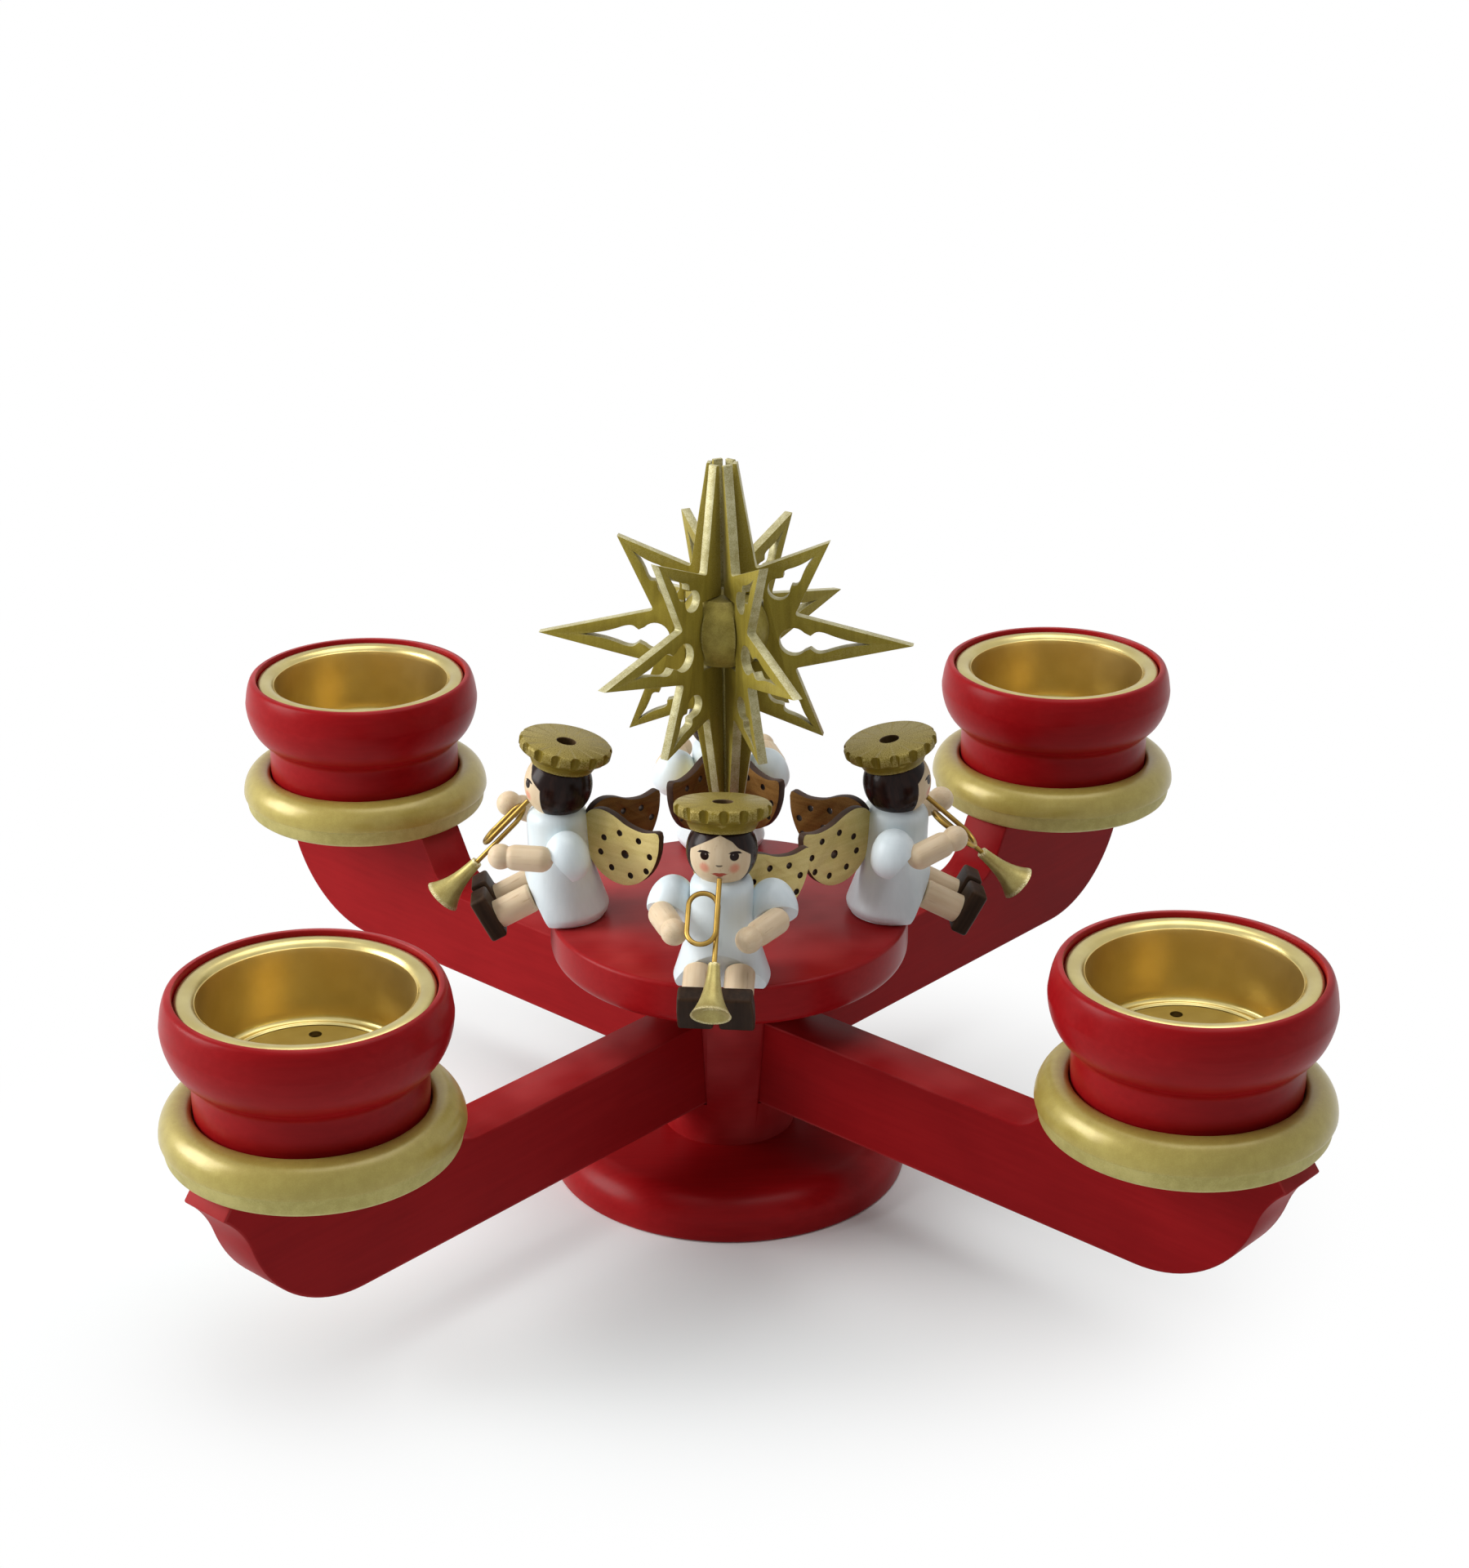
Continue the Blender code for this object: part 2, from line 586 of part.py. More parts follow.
def insert_profile():
    """The spun metal insert from the middle of its floor: a step, a wall and a rolled flange."""
    floor_z = INSERT_TOP_Z - INSERT_DEPTH
    roll = INSERT_FLANGE_THICKNESS / 2
    roll_z = INSERT_TOP_Z - roll
    inner_roll = arc((INSERT_MOUTH_RADIUS + roll, roll_z), (roll, roll), 180.0, 90.0, 2)
    outer_roll = arc((INSERT_FLANGE_RADIUS - roll, roll_z), (roll, roll), 90.0, -90.0, 3)
    step_z = floor_z + INSERT_STEP_HEIGHT
    inside = [(0.0, step_z), (INSERT_STEP_RADIUS, step_z),
              (INSERT_STEP_RADIUS + INSERT_STEP_HEIGHT, floor_z), (INSERT_FLOOR_RADIUS, floor_z)]
    outside = [(INSERT_MOUTH_RADIUS + INSERT_SHEET, INSERT_TOP_Z - INSERT_FLANGE_THICKNESS),
               (INSERT_FLOOR_RADIUS + INSERT_SHEET, floor_z - INSERT_SHEET), (0.0, floor_z - INSERT_SHEET)]
    return inside + inner_roll + outer_roll + outside


def make_cups():
    """A dish, a cup and an insert on every arm, each with its origin on the cup's axis."""
    for name, direction in arm_places():
        dish = turned(f"drip_dish_{name}", dish_profile(), ROUND_CUP, GOLD, closed=True)
        cup = turned(f"tealight_cup_{name}", cup_profile(), ROUND_CUP, RED)
        insert = turned(f"tealight_insert_{name}", insert_profile(), ROUND_CUP, METAL)
        for item in (dish, cup, insert):
            item.location = direction * CUP_DISTANCE


def rounded_corner(before, corner, after):
    """Two points that take the place of a valley's sharp corner."""
    here = Vector(corner)
    back = (Vector(before) - here).normalized() * STAR_VALLEY_ROUND
    ahead = (Vector(after) - here).normalized() * STAR_VALLEY_ROUND
    return [tuple(here + back), tuple(here + ahead)]


def star_outline():
    """Half a star: a long side point, two slanting points, and half of the top and bottom points."""
    tip_reach = STAR_INNER_EDGE + STAR_TIP_WIDTH
    corners = [(tip_reach, STAR_TOP_HEIGHT), (STAR_UPPER_VALLEY_REACH, STAR_UPPER_VALLEY_HEIGHT),
               (STAR_UPPER_SLANT_REACH, STAR_UPPER_SLANT_HEIGHT),
               (STAR_SIDE_VALLEY_REACH, STAR_SIDE_VALLEY_HEIGHT), (STAR_SIDE_REACH, 0.0),
               (STAR_SIDE_VALLEY_REACH, -STAR_SIDE_VALLEY_HEIGHT),
               (STAR_LOWER_SLANT_REACH, -STAR_LOWER_SLANT_DEPTH),
               (STAR_UPPER_VALLEY_REACH, -STAR_UPPER_VALLEY_HEIGHT), (tip_reach, -STAR_BOTTOM_DEPTH)]
    points = [(STAR_INNER_EDGE, STAR_TOP_HEIGHT), corners[0]]
    for index in range(1, len(corners), 2):
        points += rounded_corner(*corners[index - 1:index + 2])
        points.append(corners[index + 1])
    points.append((STAR_INNER_EDGE, -STAR_BOTTOM_DEPTH))
    notch = [(STAR_INNER_EDGE, STAR_NOTCH_BOTTOM), (STAR_NOTCH_REACH, STAR_NOTCH_BOTTOM),
             (STAR_NOTCH_REACH, STAR_NOTCH_TOP), (STAR_INNER_EDGE, STAR_NOTCH_TOP)]
    return points + notch


def drop_hole(lobe_reach, lobe_radius, drop_length, half_width, angle):
    """A fretwork hole along a star point: a round lobe, two cusps and a long drop."""
    cusp = radians(40.0)
    lobe = arc((lobe_reach, 0.0), (lobe_radius, lobe_radius), degrees(cusp), 360.0 - degrees(cusp), 7)
    shoulder = lobe_reach + lobe_radius * cos(cusp) + half_width / 2
    drop = [(shoulder, -half_width), (shoulder + drop_length * 0.45, -half_width / 2),
            (shoulder + drop_length, 0.0), (shoulder + drop_length * 0.45, half_width / 2),
            (shoulder, half_width)]
    return [(x * cos(angle) - y * sin(angle), x * sin(angle) + y * cos(angle)) for x, y in lobe + drop]


def make_star():
    """The leaning stem, the slotted ball and the fretwork panels, turned a little on the stem."""
    lean = empty("star_lean", (0.0, 0.0, STEM_SEAT_Z))
    lean.rotation_euler.y = -radians(STAR_LEAN)
    place = empty("star_place", (0.0, 0.0, STAR_CENTRE_Z - STEM_SEAT_Z), STAR_TURN)
    place.parent = lean
    stem_top = BALL_LIFT - BALL_HALF_HEIGHT + STEM_IN_BALL
    cylinder("star_stem", STEM_RADIUS, STEM_FOOT_Z - STAR_CENTRE_Z, stem_top - FIT, ROUND_ANGEL, GOLD, place)
    flat = degrees(asin(BALL_HALF_HEIGHT / BALL_RADIUS))
    profile = [(0.0, BALL_LIFT + BALL_HALF_HEIGHT)]
    profile += arc((0.0, BALL_LIFT), (BALL_RADIUS, BALL_RADIUS), flat, -flat, 7)
    ball = turned("star_ball", profile + [(0.0, BALL_LIFT - BALL_HALF_HEIGHT)], ROUND_CUP, GOLD, place)
    carve(ball, cylinder("ball_stem_hole", STEM_RADIUS + FIT, -BALL_RADIUS, stem_top, ROUND_ANGEL,
                         parent=place))
    upper_slant = atan2(STAR_UPPER_SLANT_HEIGHT, STAR_UPPER_SLANT_REACH)
    lower_slant = atan2(-STAR_LOWER_SLANT_DEPTH, STAR_LOWER_SLANT_REACH)
    slant_sizes = (SLANT_LOBE_REACH, SLANT_LOBE_RADIUS, SLANT_DROP_LENGTH, SLANT_DROP_HALF_WIDTH)
    holes = [drop_hole(SIDE_LOBE_REACH, SIDE_LOBE_RADIUS, SIDE_DROP_LENGTH, SIDE_DROP_HALF_WIDTH, 0.0),
             drop_hole(*slant_sizes, upper_slant), drop_hole(*slant_sizes, lower_slant)]
    slot_floor = STAR_NOTCH_REACH - FIT
    for index in range(STAR_PANEL_COUNT):
        turn = 2 * pi * (index + 0.5) / STAR_PANEL_COUNT
        direction = (sin(turn), -cos(turn), 0.0)
        panel = plate(f"star_panel_{index + 1}", [star_outline()] + holes, STAR_PANEL_THICKNESS, GOLD, place)
        panel.matrix_local = upright(direction)
        cutter = block(f"ball_slot_{index + 1}",
                       (BALL_RADIUS, STAR_NOTCH_TOP - STAR_NOTCH_BOTTOM, STAR_PANEL_THICKNESS + 2 * FIT),
                       (slot_floor + BALL_RADIUS / 2, BALL_LIFT, 0.0), parent=place)
        cutter.matrix_local = upright(direction)
        carve(ball, cutter)


def at(side, out, up):
    """A point of an angel: to its left, outwards from the middle of the hem, and up from the seat."""
    return Vector((side, -out, up))


def dress_axis():
    """The direction of the dress's axis, which leans outwards a little."""
    lean = radians(DRESS_LEAN)
    return at(0.0, sin(lean), cos(lean))


def head_middle():
    """The middle of the head, a little behind the dress's axis."""
    return dress_axis() * HEAD_HEIGHT - at(0.0, HEAD_BACK, 0.0)


def lap_direction():
    """The direction in which the legs stand out of the lap."""
    return at(0.0, cos(radians(LAP_ANGLE)), -sin(radians(LAP_ANGLE)))


def dress_profile(extra=0.0):
    """The dress from the neck down to the hem, grown by a clearance where asked."""
    waist = DRESS_WAIST_RADIUS + extra
    shoulder = arc((waist - DRESS_SHOULDER_ROUND, DRESS_HEIGHT - DRESS_SHOULDER_ROUND),
                   (DRESS_SHOULDER_ROUND, DRESS_SHOULDER_ROUND + extra), 90.0, 0.0, 3)
    foot = DRESS_HEM_RADIUS - DRESS_HEM_TUCK + extra
    hem = arc((foot, DRESS_HEM_HEIGHT), (DRESS_HEM_TUCK, DRESS_HEM_HEIGHT), 0.0, -90.0, 3)
    below = [(foot, -GLUE * 2), (0.0, -GLUE * 2)]
    return [(0.0, DRESS_HEIGHT + extra)] + shoulder + [(waist, DRESS_WAIST_HEIGHT)] + hem + below


def forearm_profile(extra=0.0):
    """A forearm along its length from the elbow up to the hand, with a groove at the wrist."""
    radius = FOREARM_RADIUS + extra
    hand_z = FOREARM_LENGTH - FOREARM_RADIUS
    wrist_z = hand_z - 0.7 * FOREARM_RADIUS
    hand = arc((0.0, hand_z), (radius, radius), 90.0, -20.0, 4)
    elbow = arc((0.0, FOREARM_RADIUS), (radius, radius), 0.0, -90.0, 3)
    return hand + [(WRIST_RADIUS + extra, wrist_z), (radius, wrist_z - 0.4 * FOREARM_RADIUS)] + elbow


def make_forearms(name, place, seat):
    """Two forearms, and the matching hollows in the sleeves."""
    hollows = []
    right = ("right", -1, seat.right_inward, seat.right_upward, (0.0, 0.0))
    left = ("left", 1, seat.left_inward, seat.left_upward, (seat.left_ahead, seat.left_raise))
    for label, side, inward, upward, shift in (right, left):
        level = cos(radians(upward))
        direction = at(-side * sin(radians(inward)) * level, cos(radians(inward)) * level,
                       sin(radians(upward)))
        pose = aimed(at(side * ELBOW_SIDE, ELBOW_OUT + shift[0], ELBOW_HEIGHT + shift[1]), direction)
        forearm = turned(f"angel_{name}_forearm_{label}", forearm_profile(), ROUND_SMALL, WOOD, place)
        hollow = turned(f"sleeve_hollow_{name}_{label}", forearm_profile(FIT), ROUND_SMALL, parent=place)
        forearm.matrix_local = pose
        hollow.matrix_local = pose
        hollows.append(hollow)
    return hollows


def make_dress(name, place, hollows):
    """The turned dress with its puffed sleeves, cut flat at the seat and at the lap, with a neck hollow."""
    dress = turned(f"angel_{name}_dress", dress_profile(), ROUND_ANGEL, WHITE, place)
    dress.matrix_local = aimed(at(0.0, 0.0, FIT), dress_axis())
    for label, side in (("right", -1), ("left", 1)):
        puff = arc((0.0, 0.0), (SLEEVE_RADIUS, SLEEVE_HALF_HEIGHT), 90.0, -90.0, 6)
        sleeve = turned(f"sleeve_{name}_{label}", puff, ROUND_SMALL + 2, parent=place)
        sleeve.location = dress_axis() * SLEEVE_HEIGHT + at(side * SLEEVE_SIDE, -SLEEVE_BACK, 0.0)
        glue(dress, sleeve)
    reach = 4 * DRESS_HEM_RADIUS
    floor = block(f"seat_cut_{name}", (reach, reach, reach), (0.0, 0.0, FIT - reach / 2), parent=place)
    carve(dress, floor)
    lap = block(f"lap_cut_{name}", (reach, reach, reach), (0.0, 0.0, reach / 2), parent=place)
    lap.matrix_local = aimed(at(0.0, LAP_START, 0.0), lap_direction())
    carve(dress, lap)
    neck = sphere(f"neck_cut_{name}", HEAD_RADIUS + FIT, parent=place)
    neck.location = head_middle()
    carve(dress, neck)
    for hollow in hollows:
        carve(dress, hollow)


def crown_profile():
    """The crown: a band that widens to a flat notched rim, with a hole in its top."""
    band_z = CROWN_BAND_START
    top_z = band_z + CROWN_HEIGHT
    return [(0.0, CROWN_HOLE_FLOOR), (CROWN_HOLE_RADIUS, CROWN_HOLE_FLOOR), (CROWN_HOLE_RADIUS, top_z),
            (CROWN_RIM_RADIUS - CROWN_RIM_ROUND, top_z), (CROWN_RIM_RADIUS, top_z - CROWN_RIM_ROUND),
            (CROWN_BAND_RADIUS, band_z + CROWN_BAND_HEIGHT), (CROWN_BAND_RADIUS, band_z), (0.0, band_z)]


def make_head(name, place):
    """The round head with its notched crown."""
    tilt = radians(HEAD_TILT)
    pose = aimed(head_middle(), at(0.0, -sin(tilt), cos(tilt)))
    head = sphere(f"angel_{name}_head", HEAD_RADIUS, WOOD, place)
    crown = turned(f"crown_{name}", crown_profile(), CROWN_NOTCHES, parent=place)
    head.matrix_local = pose
    crown.matrix_local = pose
    glue(head, crown)
    low = CROWN_BAND_START + CROWN_BAND_HEIGHT
    for index in range(CROWN_NOTCHES):
        turn = 2 * pi * index / CROWN_NOTCHES
        notch = cylinder(f"crown_notch_{name}_{index + 1}", CROWN_NOTCH_RADIUS, low, low + CROWN_HEIGHT, 4,
                         parent=place)
        notch.matrix_local = pose @ Matrix.Translation((CROWN_RIM_RADIUS * cos(turn),
                                                        CROWN_RIM_RADIUS * sin(turn), 0.0))
        carve(head, notch)


def make_legs(name, place):
    """Two legs that stand out of the lap, each with its shoe."""
    direction = lap_direction()
    toe_up = at(0.0, sin(radians(LAP_ANGLE)), cos(radians(LAP_ANGLE)))
    turn = Matrix((toe_up.cross(direction), toe_up, direction)).transposed().to_4x4()
    for label, side in (("right", -1), ("left", 1)):
        start = at(side * LEG_SIDE, LAP_START + LEG_HEIGHT * tan(radians(LAP_ANGLE)), LEG_HEIGHT)
        pose = Matrix.Translation(start) @ turn
        shoe_foot = FIT + LEG_LENGTH
        leg = cylinder(f"angel_{name}_leg_{label}", LEG_RADIUS, FIT, shoe_foot + GLUE, ROUND_ANGEL, WOOD,
                       place)
        shoe = block(f"shoe_{name}_{label}", (SHOE_WIDTH, SHOE_LENGTH, SHOE_THICKNESS),
                     (0.0, SHOE_LENGTH / 2 - SHOE_HEEL_BELOW_LEG, shoe_foot + SHOE_THICKNESS / 2),
                     parent=place)
        rounding = shoe.modifiers.new("Round", "BEVEL")
        rounding.width = SHOE_ROUND
        rounding.segments = 1
        leg.matrix_local = pose
        shoe.matrix_local = pose
        glue(leg, shoe)


def wing_outline():
    """The waved outline of a wing, from its root along X."""
    shares = [(0.0, 0.33), (0.10, 0.46), (0.24, 0.51), (0.40, 0.48), (0.58, 0.38), (0.78, 0.34), (0.97, 0.38),
              (1.0, 0.32), (0.98, 0.08), (0.90, -0.17), (0.76, -0.37), (0.58, -0.48), (0.38, -0.48),
              (0.20, -0.38), (0.07, -0.20), (0.0, 0.0)]
    return [(WING_LENGTH * x, WING_DEPTH * y) for x, y in shares]


def wing_holes():
    """Drilled holes: a larger one in the middle and a ring of small ones round it."""
    centre = (WING_LENGTH * 0.55, -WING_DEPTH * 0.04)
    holes = [arc(centre, (WING_EYE_RADIUS, WING_EYE_RADIUS), 0.0, 288.0, 5)]
    last = 360.0 - 360.0 / WING_RING_HOLES
    ring = arc(centre, (WING_LENGTH * 0.33, WING_DEPTH * 0.29), 12.0, 12.0 + last, WING_RING_HOLES)
    for spot in ring:
        holes.append(arc(spot, (WING_HOLE_RADIUS, WING_HOLE_RADIUS), 0.0, 270.0, 4))
    return holes


def make_wings(name, place, wings_turn):
    """A pair of drilled wings joined at the root and cut to the round of the dress and the head."""
    turn = Matrix.Rotation(radians(wings_turn), 3, "Z")
    root = turn @ at(0.0, WING_SEAT * tan(radians(DRESS_LEAN)) - DRESS_WAIST_RADIUS + GLUE, WING_SEAT)
    spread = radians(WING_SPREAD)
    pair = []
    for label, side in (("right", -1), ("left", 1)):
        direction = turn @ at(side * sin(spread), -cos(spread), 0.0)
        title = f"angel_{name}_wings" if side < 0 else f"wing_{name}_{label}"
        finish = GOLD if side < 0 else None
        wing = plate(title, [wing_outline()] + wing_holes(), WING_THICKNESS, finish, place)
        wing.matrix_local = upright(direction, root)
        pair.append(wing)
    wings, other = pair
    glue(wings, other)
    back = turned(f"wing_dress_cut_{name}", dress_profile(FIT), ROUND_ANGEL, parent=place)
    back.matrix_local = aimed(at(0.0, 0.0, FIT), dress_axis())
    carve(wings, back)


def pipe_points():
    """The trumpet's wire in its own frame: Z along the trumpet, X across the coil, Y its lift."""
    half = COIL_WIDTH / 2
    top = COIL_START + half
    bottom = COIL_START + COIL_LENGTH - half
    points = [(0.0, COIL_LIFT, FIT), (0.0, COIL_LIFT, top)]
    for index in range(COIL_STEPS + 1):
        turn = pi * index / COIL_STEPS
        points.append((half * cos(turn) - half, COIL_LIFT * (1 - turn / pi), bottom + half * sin(turn)))
    for index in range(COIL_STEPS + 1):
        turn = pi * (1 + index / COIL_STEPS)
        points.append((half * cos(turn) - half, COIL_LIFT * (1 - turn / pi), top + half * sin(turn)))
    points.append((0.0, -COIL_LIFT, bottom))
    points.append((0.0, -COIL_LIFT, PIPE_LENGTH + GLUE))
    return points


def bell_profile():
    """The trumpet's bell: a flare with a shallow cup in its mouth, mouth upwards."""
    flare = BELL_MOUTH_RADIUS - BELL_THROAT_RADIUS
    end = PIPE_LENGTH + BELL_LENGTH
    outside = [(BELL_THROAT_RADIUS + flare * share ** 2.2, PIPE_LENGTH + BELL_LENGTH * share)
               for share in (1.0, 0.85, 0.65, 0.4, 0.0)]
    inside = [(0.0, end - BELL_CUP_DEPTH), (BELL_MOUTH_RADIUS - BELL_WALL, end)]
    return inside + outside + [(0.0, PIPE_LENGTH)]


def make_trumpet(name, place, drop):
    """The bent brass wire with its coil, and the turned bell on its end."""
    mouth_turn = radians(MOUTH_ANGLE)
    mouth = head_middle() + at(0.0, HEAD_RADIUS * cos(mouth_turn), -HEAD_RADIUS * sin(mouth_turn))
    along = at(0.0, cos(radians(drop)), -sin(radians(drop)))
    across = Vector((1.0, 0.0, 0.0))
    outward = along.cross(across)
    turn = Matrix((across, outward, along)).transposed().to_4x4()
    pose = Matrix.Translation(mouth - outward * COIL_LIFT) @ turn
    pipe = wire(f"angel_{name}_trumpet", pipe_points(), PIPE_RADIUS, METAL, place)
    pipe.matrix_local = pose
    bell = turned(f"bell_{name}", bell_profile(), ROUND_ANGEL, parent=place)
    bell.matrix_local = pose @ Matrix.Translation((0.0, -COIL_LIFT, 0.0))
    glue(pipe, bell)


def make_angel(name, seat):
    """One seated angel over the platform's rim."""
    turn = radians(seat.side + seat.place_turn)
    distance = SEAT_DISTANCE + seat.shift
    place = empty(f"angel_place_{name}", (distance * sin(turn), -distance * cos(turn), PLATFORM_TOP_Z),
                  seat.side + seat.body_turn)
    hollows = make_forearms(name, place, seat)
    make_dress(name, place, hollows)
    make_head(name, place)
    make_legs(name, place)
    make_wings(name, place, seat.wings_turn)
    make_trumpet(name, place, seat.trumpet_drop)


make_base()
make_post()
make_platform()
make_arms()
make_cups()
make_star()
for angel_name, angel_seat in ANGELS.items():
    make_angel(angel_name, angel_seat)
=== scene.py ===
"""Advent candle holder: the finished look of its turned, sawn, painted and metal pieces."""

import logging
from dataclasses import dataclass, field
from enum import Enum
from math import asin, atan2, cos, pi, radians, sin, tan
from typing import Callable, Iterator, Sequence

import bpy
from mathutils import Matrix, Vector


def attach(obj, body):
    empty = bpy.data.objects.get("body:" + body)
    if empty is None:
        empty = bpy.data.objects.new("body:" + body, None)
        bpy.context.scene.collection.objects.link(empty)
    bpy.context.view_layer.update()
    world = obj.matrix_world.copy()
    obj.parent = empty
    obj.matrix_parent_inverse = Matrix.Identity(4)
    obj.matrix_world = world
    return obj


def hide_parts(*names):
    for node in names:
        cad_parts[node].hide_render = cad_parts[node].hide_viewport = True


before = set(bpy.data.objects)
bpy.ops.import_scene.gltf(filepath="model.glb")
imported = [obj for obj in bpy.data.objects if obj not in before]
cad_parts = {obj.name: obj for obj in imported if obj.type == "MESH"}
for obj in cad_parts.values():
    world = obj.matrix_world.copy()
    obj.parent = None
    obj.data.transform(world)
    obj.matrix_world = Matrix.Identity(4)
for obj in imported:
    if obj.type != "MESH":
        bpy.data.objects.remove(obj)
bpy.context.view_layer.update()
LOG = logging.getLogger("candle_holder")

Spot = tuple[float, float]
Place = tuple[float, float, float]
Colour = Place
Profile = tuple[Spot, ...]
Piece = bpy.types.Object
OWN = "own_place"
TINY = 0.000001
FIT = 0.0003
ROUND, FINE_ROUND = 96, 128
FLAT = 0.9
SLIGHT_BEND, STRONG_BEND = 30.0, 40.0


class Corner(Enum):
    """The four arms, by their turn about the post in degrees."""

    BACK_RIGHT = 45.0
    BACK_LEFT = 135.0
    FRONT_LEFT = 225.0
    FRONT_RIGHT = 315.0

    @property
    def title(self) -> str:
        """The corner's name as the nodes carry it."""
        return self.name.lower()

    @property
    def direction(self) -> Vector:
        """The level direction from the post to the cup."""
        turn = radians(self.value)
        return Vector((cos(turn), sin(turn), 0.0))


class Hand(Enum):
    """The two sides of an angel, by the sign of its own X."""

    RIGHT = -1
    LEFT = 1

    @property
    def title(self) -> str:
        """The side's name as the nodes carry it."""
        return self.name.lower()


class Grain(Enum):
    """The way in which a pattern runs on a piece, as the scales of its own X, Y and Z."""

    ALONG_X = (60.0, 900.0, 900.0)
    ALONG_Z = (900.0, 900.0, 60.0)
    ALONG_Y = (900.0, 60.0, 900.0)
    NONE = (420.0, 420.0, 420.0)


# Making shapes


def clear_selection() -> None:
    """Leave edit mode and deselect everything."""
    if bpy.context.object and bpy.context.object.mode != "OBJECT":
        bpy.ops.object.mode_set(mode="OBJECT")
    bpy.ops.object.select_all(action="DESELECT")


def pick(piece: Piece) -> None:
    """Select one piece alone and make it active."""
    clear_selection()
    piece.select_set(True)
    bpy.context.view_layer.objects.active = piece


def arc(centre: Spot, radii: Spot, start: float, end: float, count: int) -> list[Spot]:
    """Points on an arc of an ellipse.

    Args:
        centre: The ellipse's centre.
        radii: Its two half axes.
        start: The first point's angle in degrees.
        end: The last point's angle in degrees.
        count: The number of points.

    Returns:
        The points, from start to end.
    """
    angles = [radians(start + (end - start) * index / (count - 1)) for index in range(count)]
    return [(centre[0] + radii[0] * cos(a), centre[1] + radii[1] * sin(a)) for a in angles]


def flowing(points: Sequence[Spot], per_stretch: int) -> list[Spot]:
    """A smooth run through given points.

    Args:
        points: The points to pass through.
        per_stretch: The steps between two of them.

    Returns:
        The points of the smooth run.
    """
    run = [Vector(point) for point in points]
    run = [2 * run[0] - run[1]] + run + [2 * run[-1] - run[-2]]
    smooth_run = []
    for before, here, there, after in zip(run, run[1:], run[2:], run[3:]):
        for index in range(per_stretch):
            t = index / per_stretch
            smooth_run.append(tuple(0.5 * (2 * here + (there - before) * t
                                           + (2 * before - 5 * here + 4 * there - after) * t ** 2
                                           + (3 * here - before - 3 * there + after) * t ** 3)))
    return smooth_run + [tuple(run[-2])]


def shifted(origin: Spot, steps: Sequence[Spot]) -> list[Spot]:
    """The points at some steps from an origin."""
    return [(origin[0] + across, origin[1] + up) for across, up in steps]


def start_drawing(name: str) -> Piece:
    """Start a new piece as a single point and stay in edit mode.

    Args:
        name: The piece's name.

    Returns:
        The new object.
    """
    clear_selection()
    bpy.ops.mesh.primitive_plane_add(size=0.001, enter_editmode=True, location=(0.0, 0.0, 0.0))
    bpy.context.object.name = name
    bpy.ops.mesh.delete(type="VERT")
    return bpy.context.object


def draw_run(points: Sequence[Vector], closed: bool = False) -> None:
    """Draw straight stretches from point to point by extruding a single point.

    Args:
        points: The points of the run.
        closed: Whether the run ends where it starts.
    """
    bpy.ops.mesh.select_all(action="DESELECT")
    bpy.ops.mesh.primitive_plane_add(size=0.001, location=points[0])
    bpy.ops.mesh.merge(type="CENTER")
    rounds = list(points) + [points[0]] if closed else list(points)
    for here, there in zip(rounds, rounds[1:]):
        bpy.ops.mesh.extrude_vertices_move(TRANSFORM_OT_translate={"value": Vector(there) - Vector(here)})


def tidy_mesh() -> None:
    """Weld what lies together and turn all faces outwards, in edit mode."""
    bpy.ops.mesh.select_all(action="SELECT")
    bpy.ops.mesh.remove_doubles(threshold=TINY)
    bpy.ops.mesh.normals_make_consistent(inside=False)


def turned(name: str, section: Sequence[Spot], steps: int = ROUND, closed: bool = False) -> Piece:
    """Turn a section of (radius, height) points once about Z.

    Args:
        name: The piece's name.
        section: The half section.
        steps: The steps round the axis.
        closed: Whether the section is a loop off the axis.

    Returns:
        The turned piece, on Z.
    """
    piece = start_drawing(name)
    draw_run([Vector((radius, 0.0, height)) for radius, height in section], closed)
    bpy.ops.mesh.select_all(action="SELECT")
    bpy.ops.mesh.spin(steps=steps, angle=2 * pi, center=(0.0, 0.0, 0.0), axis=(0.0, 0.0, 1.0))
    tidy_mesh()
    bpy.ops.object.mode_set(mode="OBJECT")
    return piece


def sawn(name: str, loops: Sequence[Sequence[Spot]], thickness: float) -> Piece:
    """Saw a flat board from an outline and its holes.

    Args:
        name: The piece's name.
        loops: The outline and the holes, in X and Y.
        thickness: The board's thickness, half to each side of Z 0.

    Returns:
        The board.
    """
    piece = start_drawing(name)
    for loop in loops:
        draw_run([Vector((across, up, -thickness / 2)) for across, up in loop], closed=True)
    bpy.ops.mesh.select_all(action="SELECT")
    bpy.ops.mesh.remove_doubles(threshold=TINY)
    if len(loops) == 1:
        bpy.ops.mesh.edge_face_add()
    else:
        bpy.ops.mesh.fill(use_beauty=True)
        bpy.ops.mesh.dissolve_limited(angle_limit=radians(1.0))
    bpy.ops.mesh.select_all(action="SELECT")
    bpy.ops.mesh.extrude_region_move(TRANSFORM_OT_translate={"value": (0.0, 0.0, thickness)})
    tidy_mesh()
    bpy.ops.object.mode_set(mode="OBJECT")
    return piece


def frame_flats(piece: Piece, width: float) -> None:
    """Run a narrow strip round a board's two flat sides, inside their edges.

    Args:
        piece: The board, with Z across it.
        width: The strip's width.
    """
    pick(piece)
    for face in piece.data.polygons:
        face.select = abs(face.normal.z) > 0.999
    bpy.ops.object.mode_set(mode="EDIT")
    bpy.ops.mesh.select_mode(type="FACE")
    bpy.ops.mesh.inset(thickness=width)
    bpy.ops.mesh.select_mode(type="VERT")
    bpy.ops.object.mode_set(mode="OBJECT")


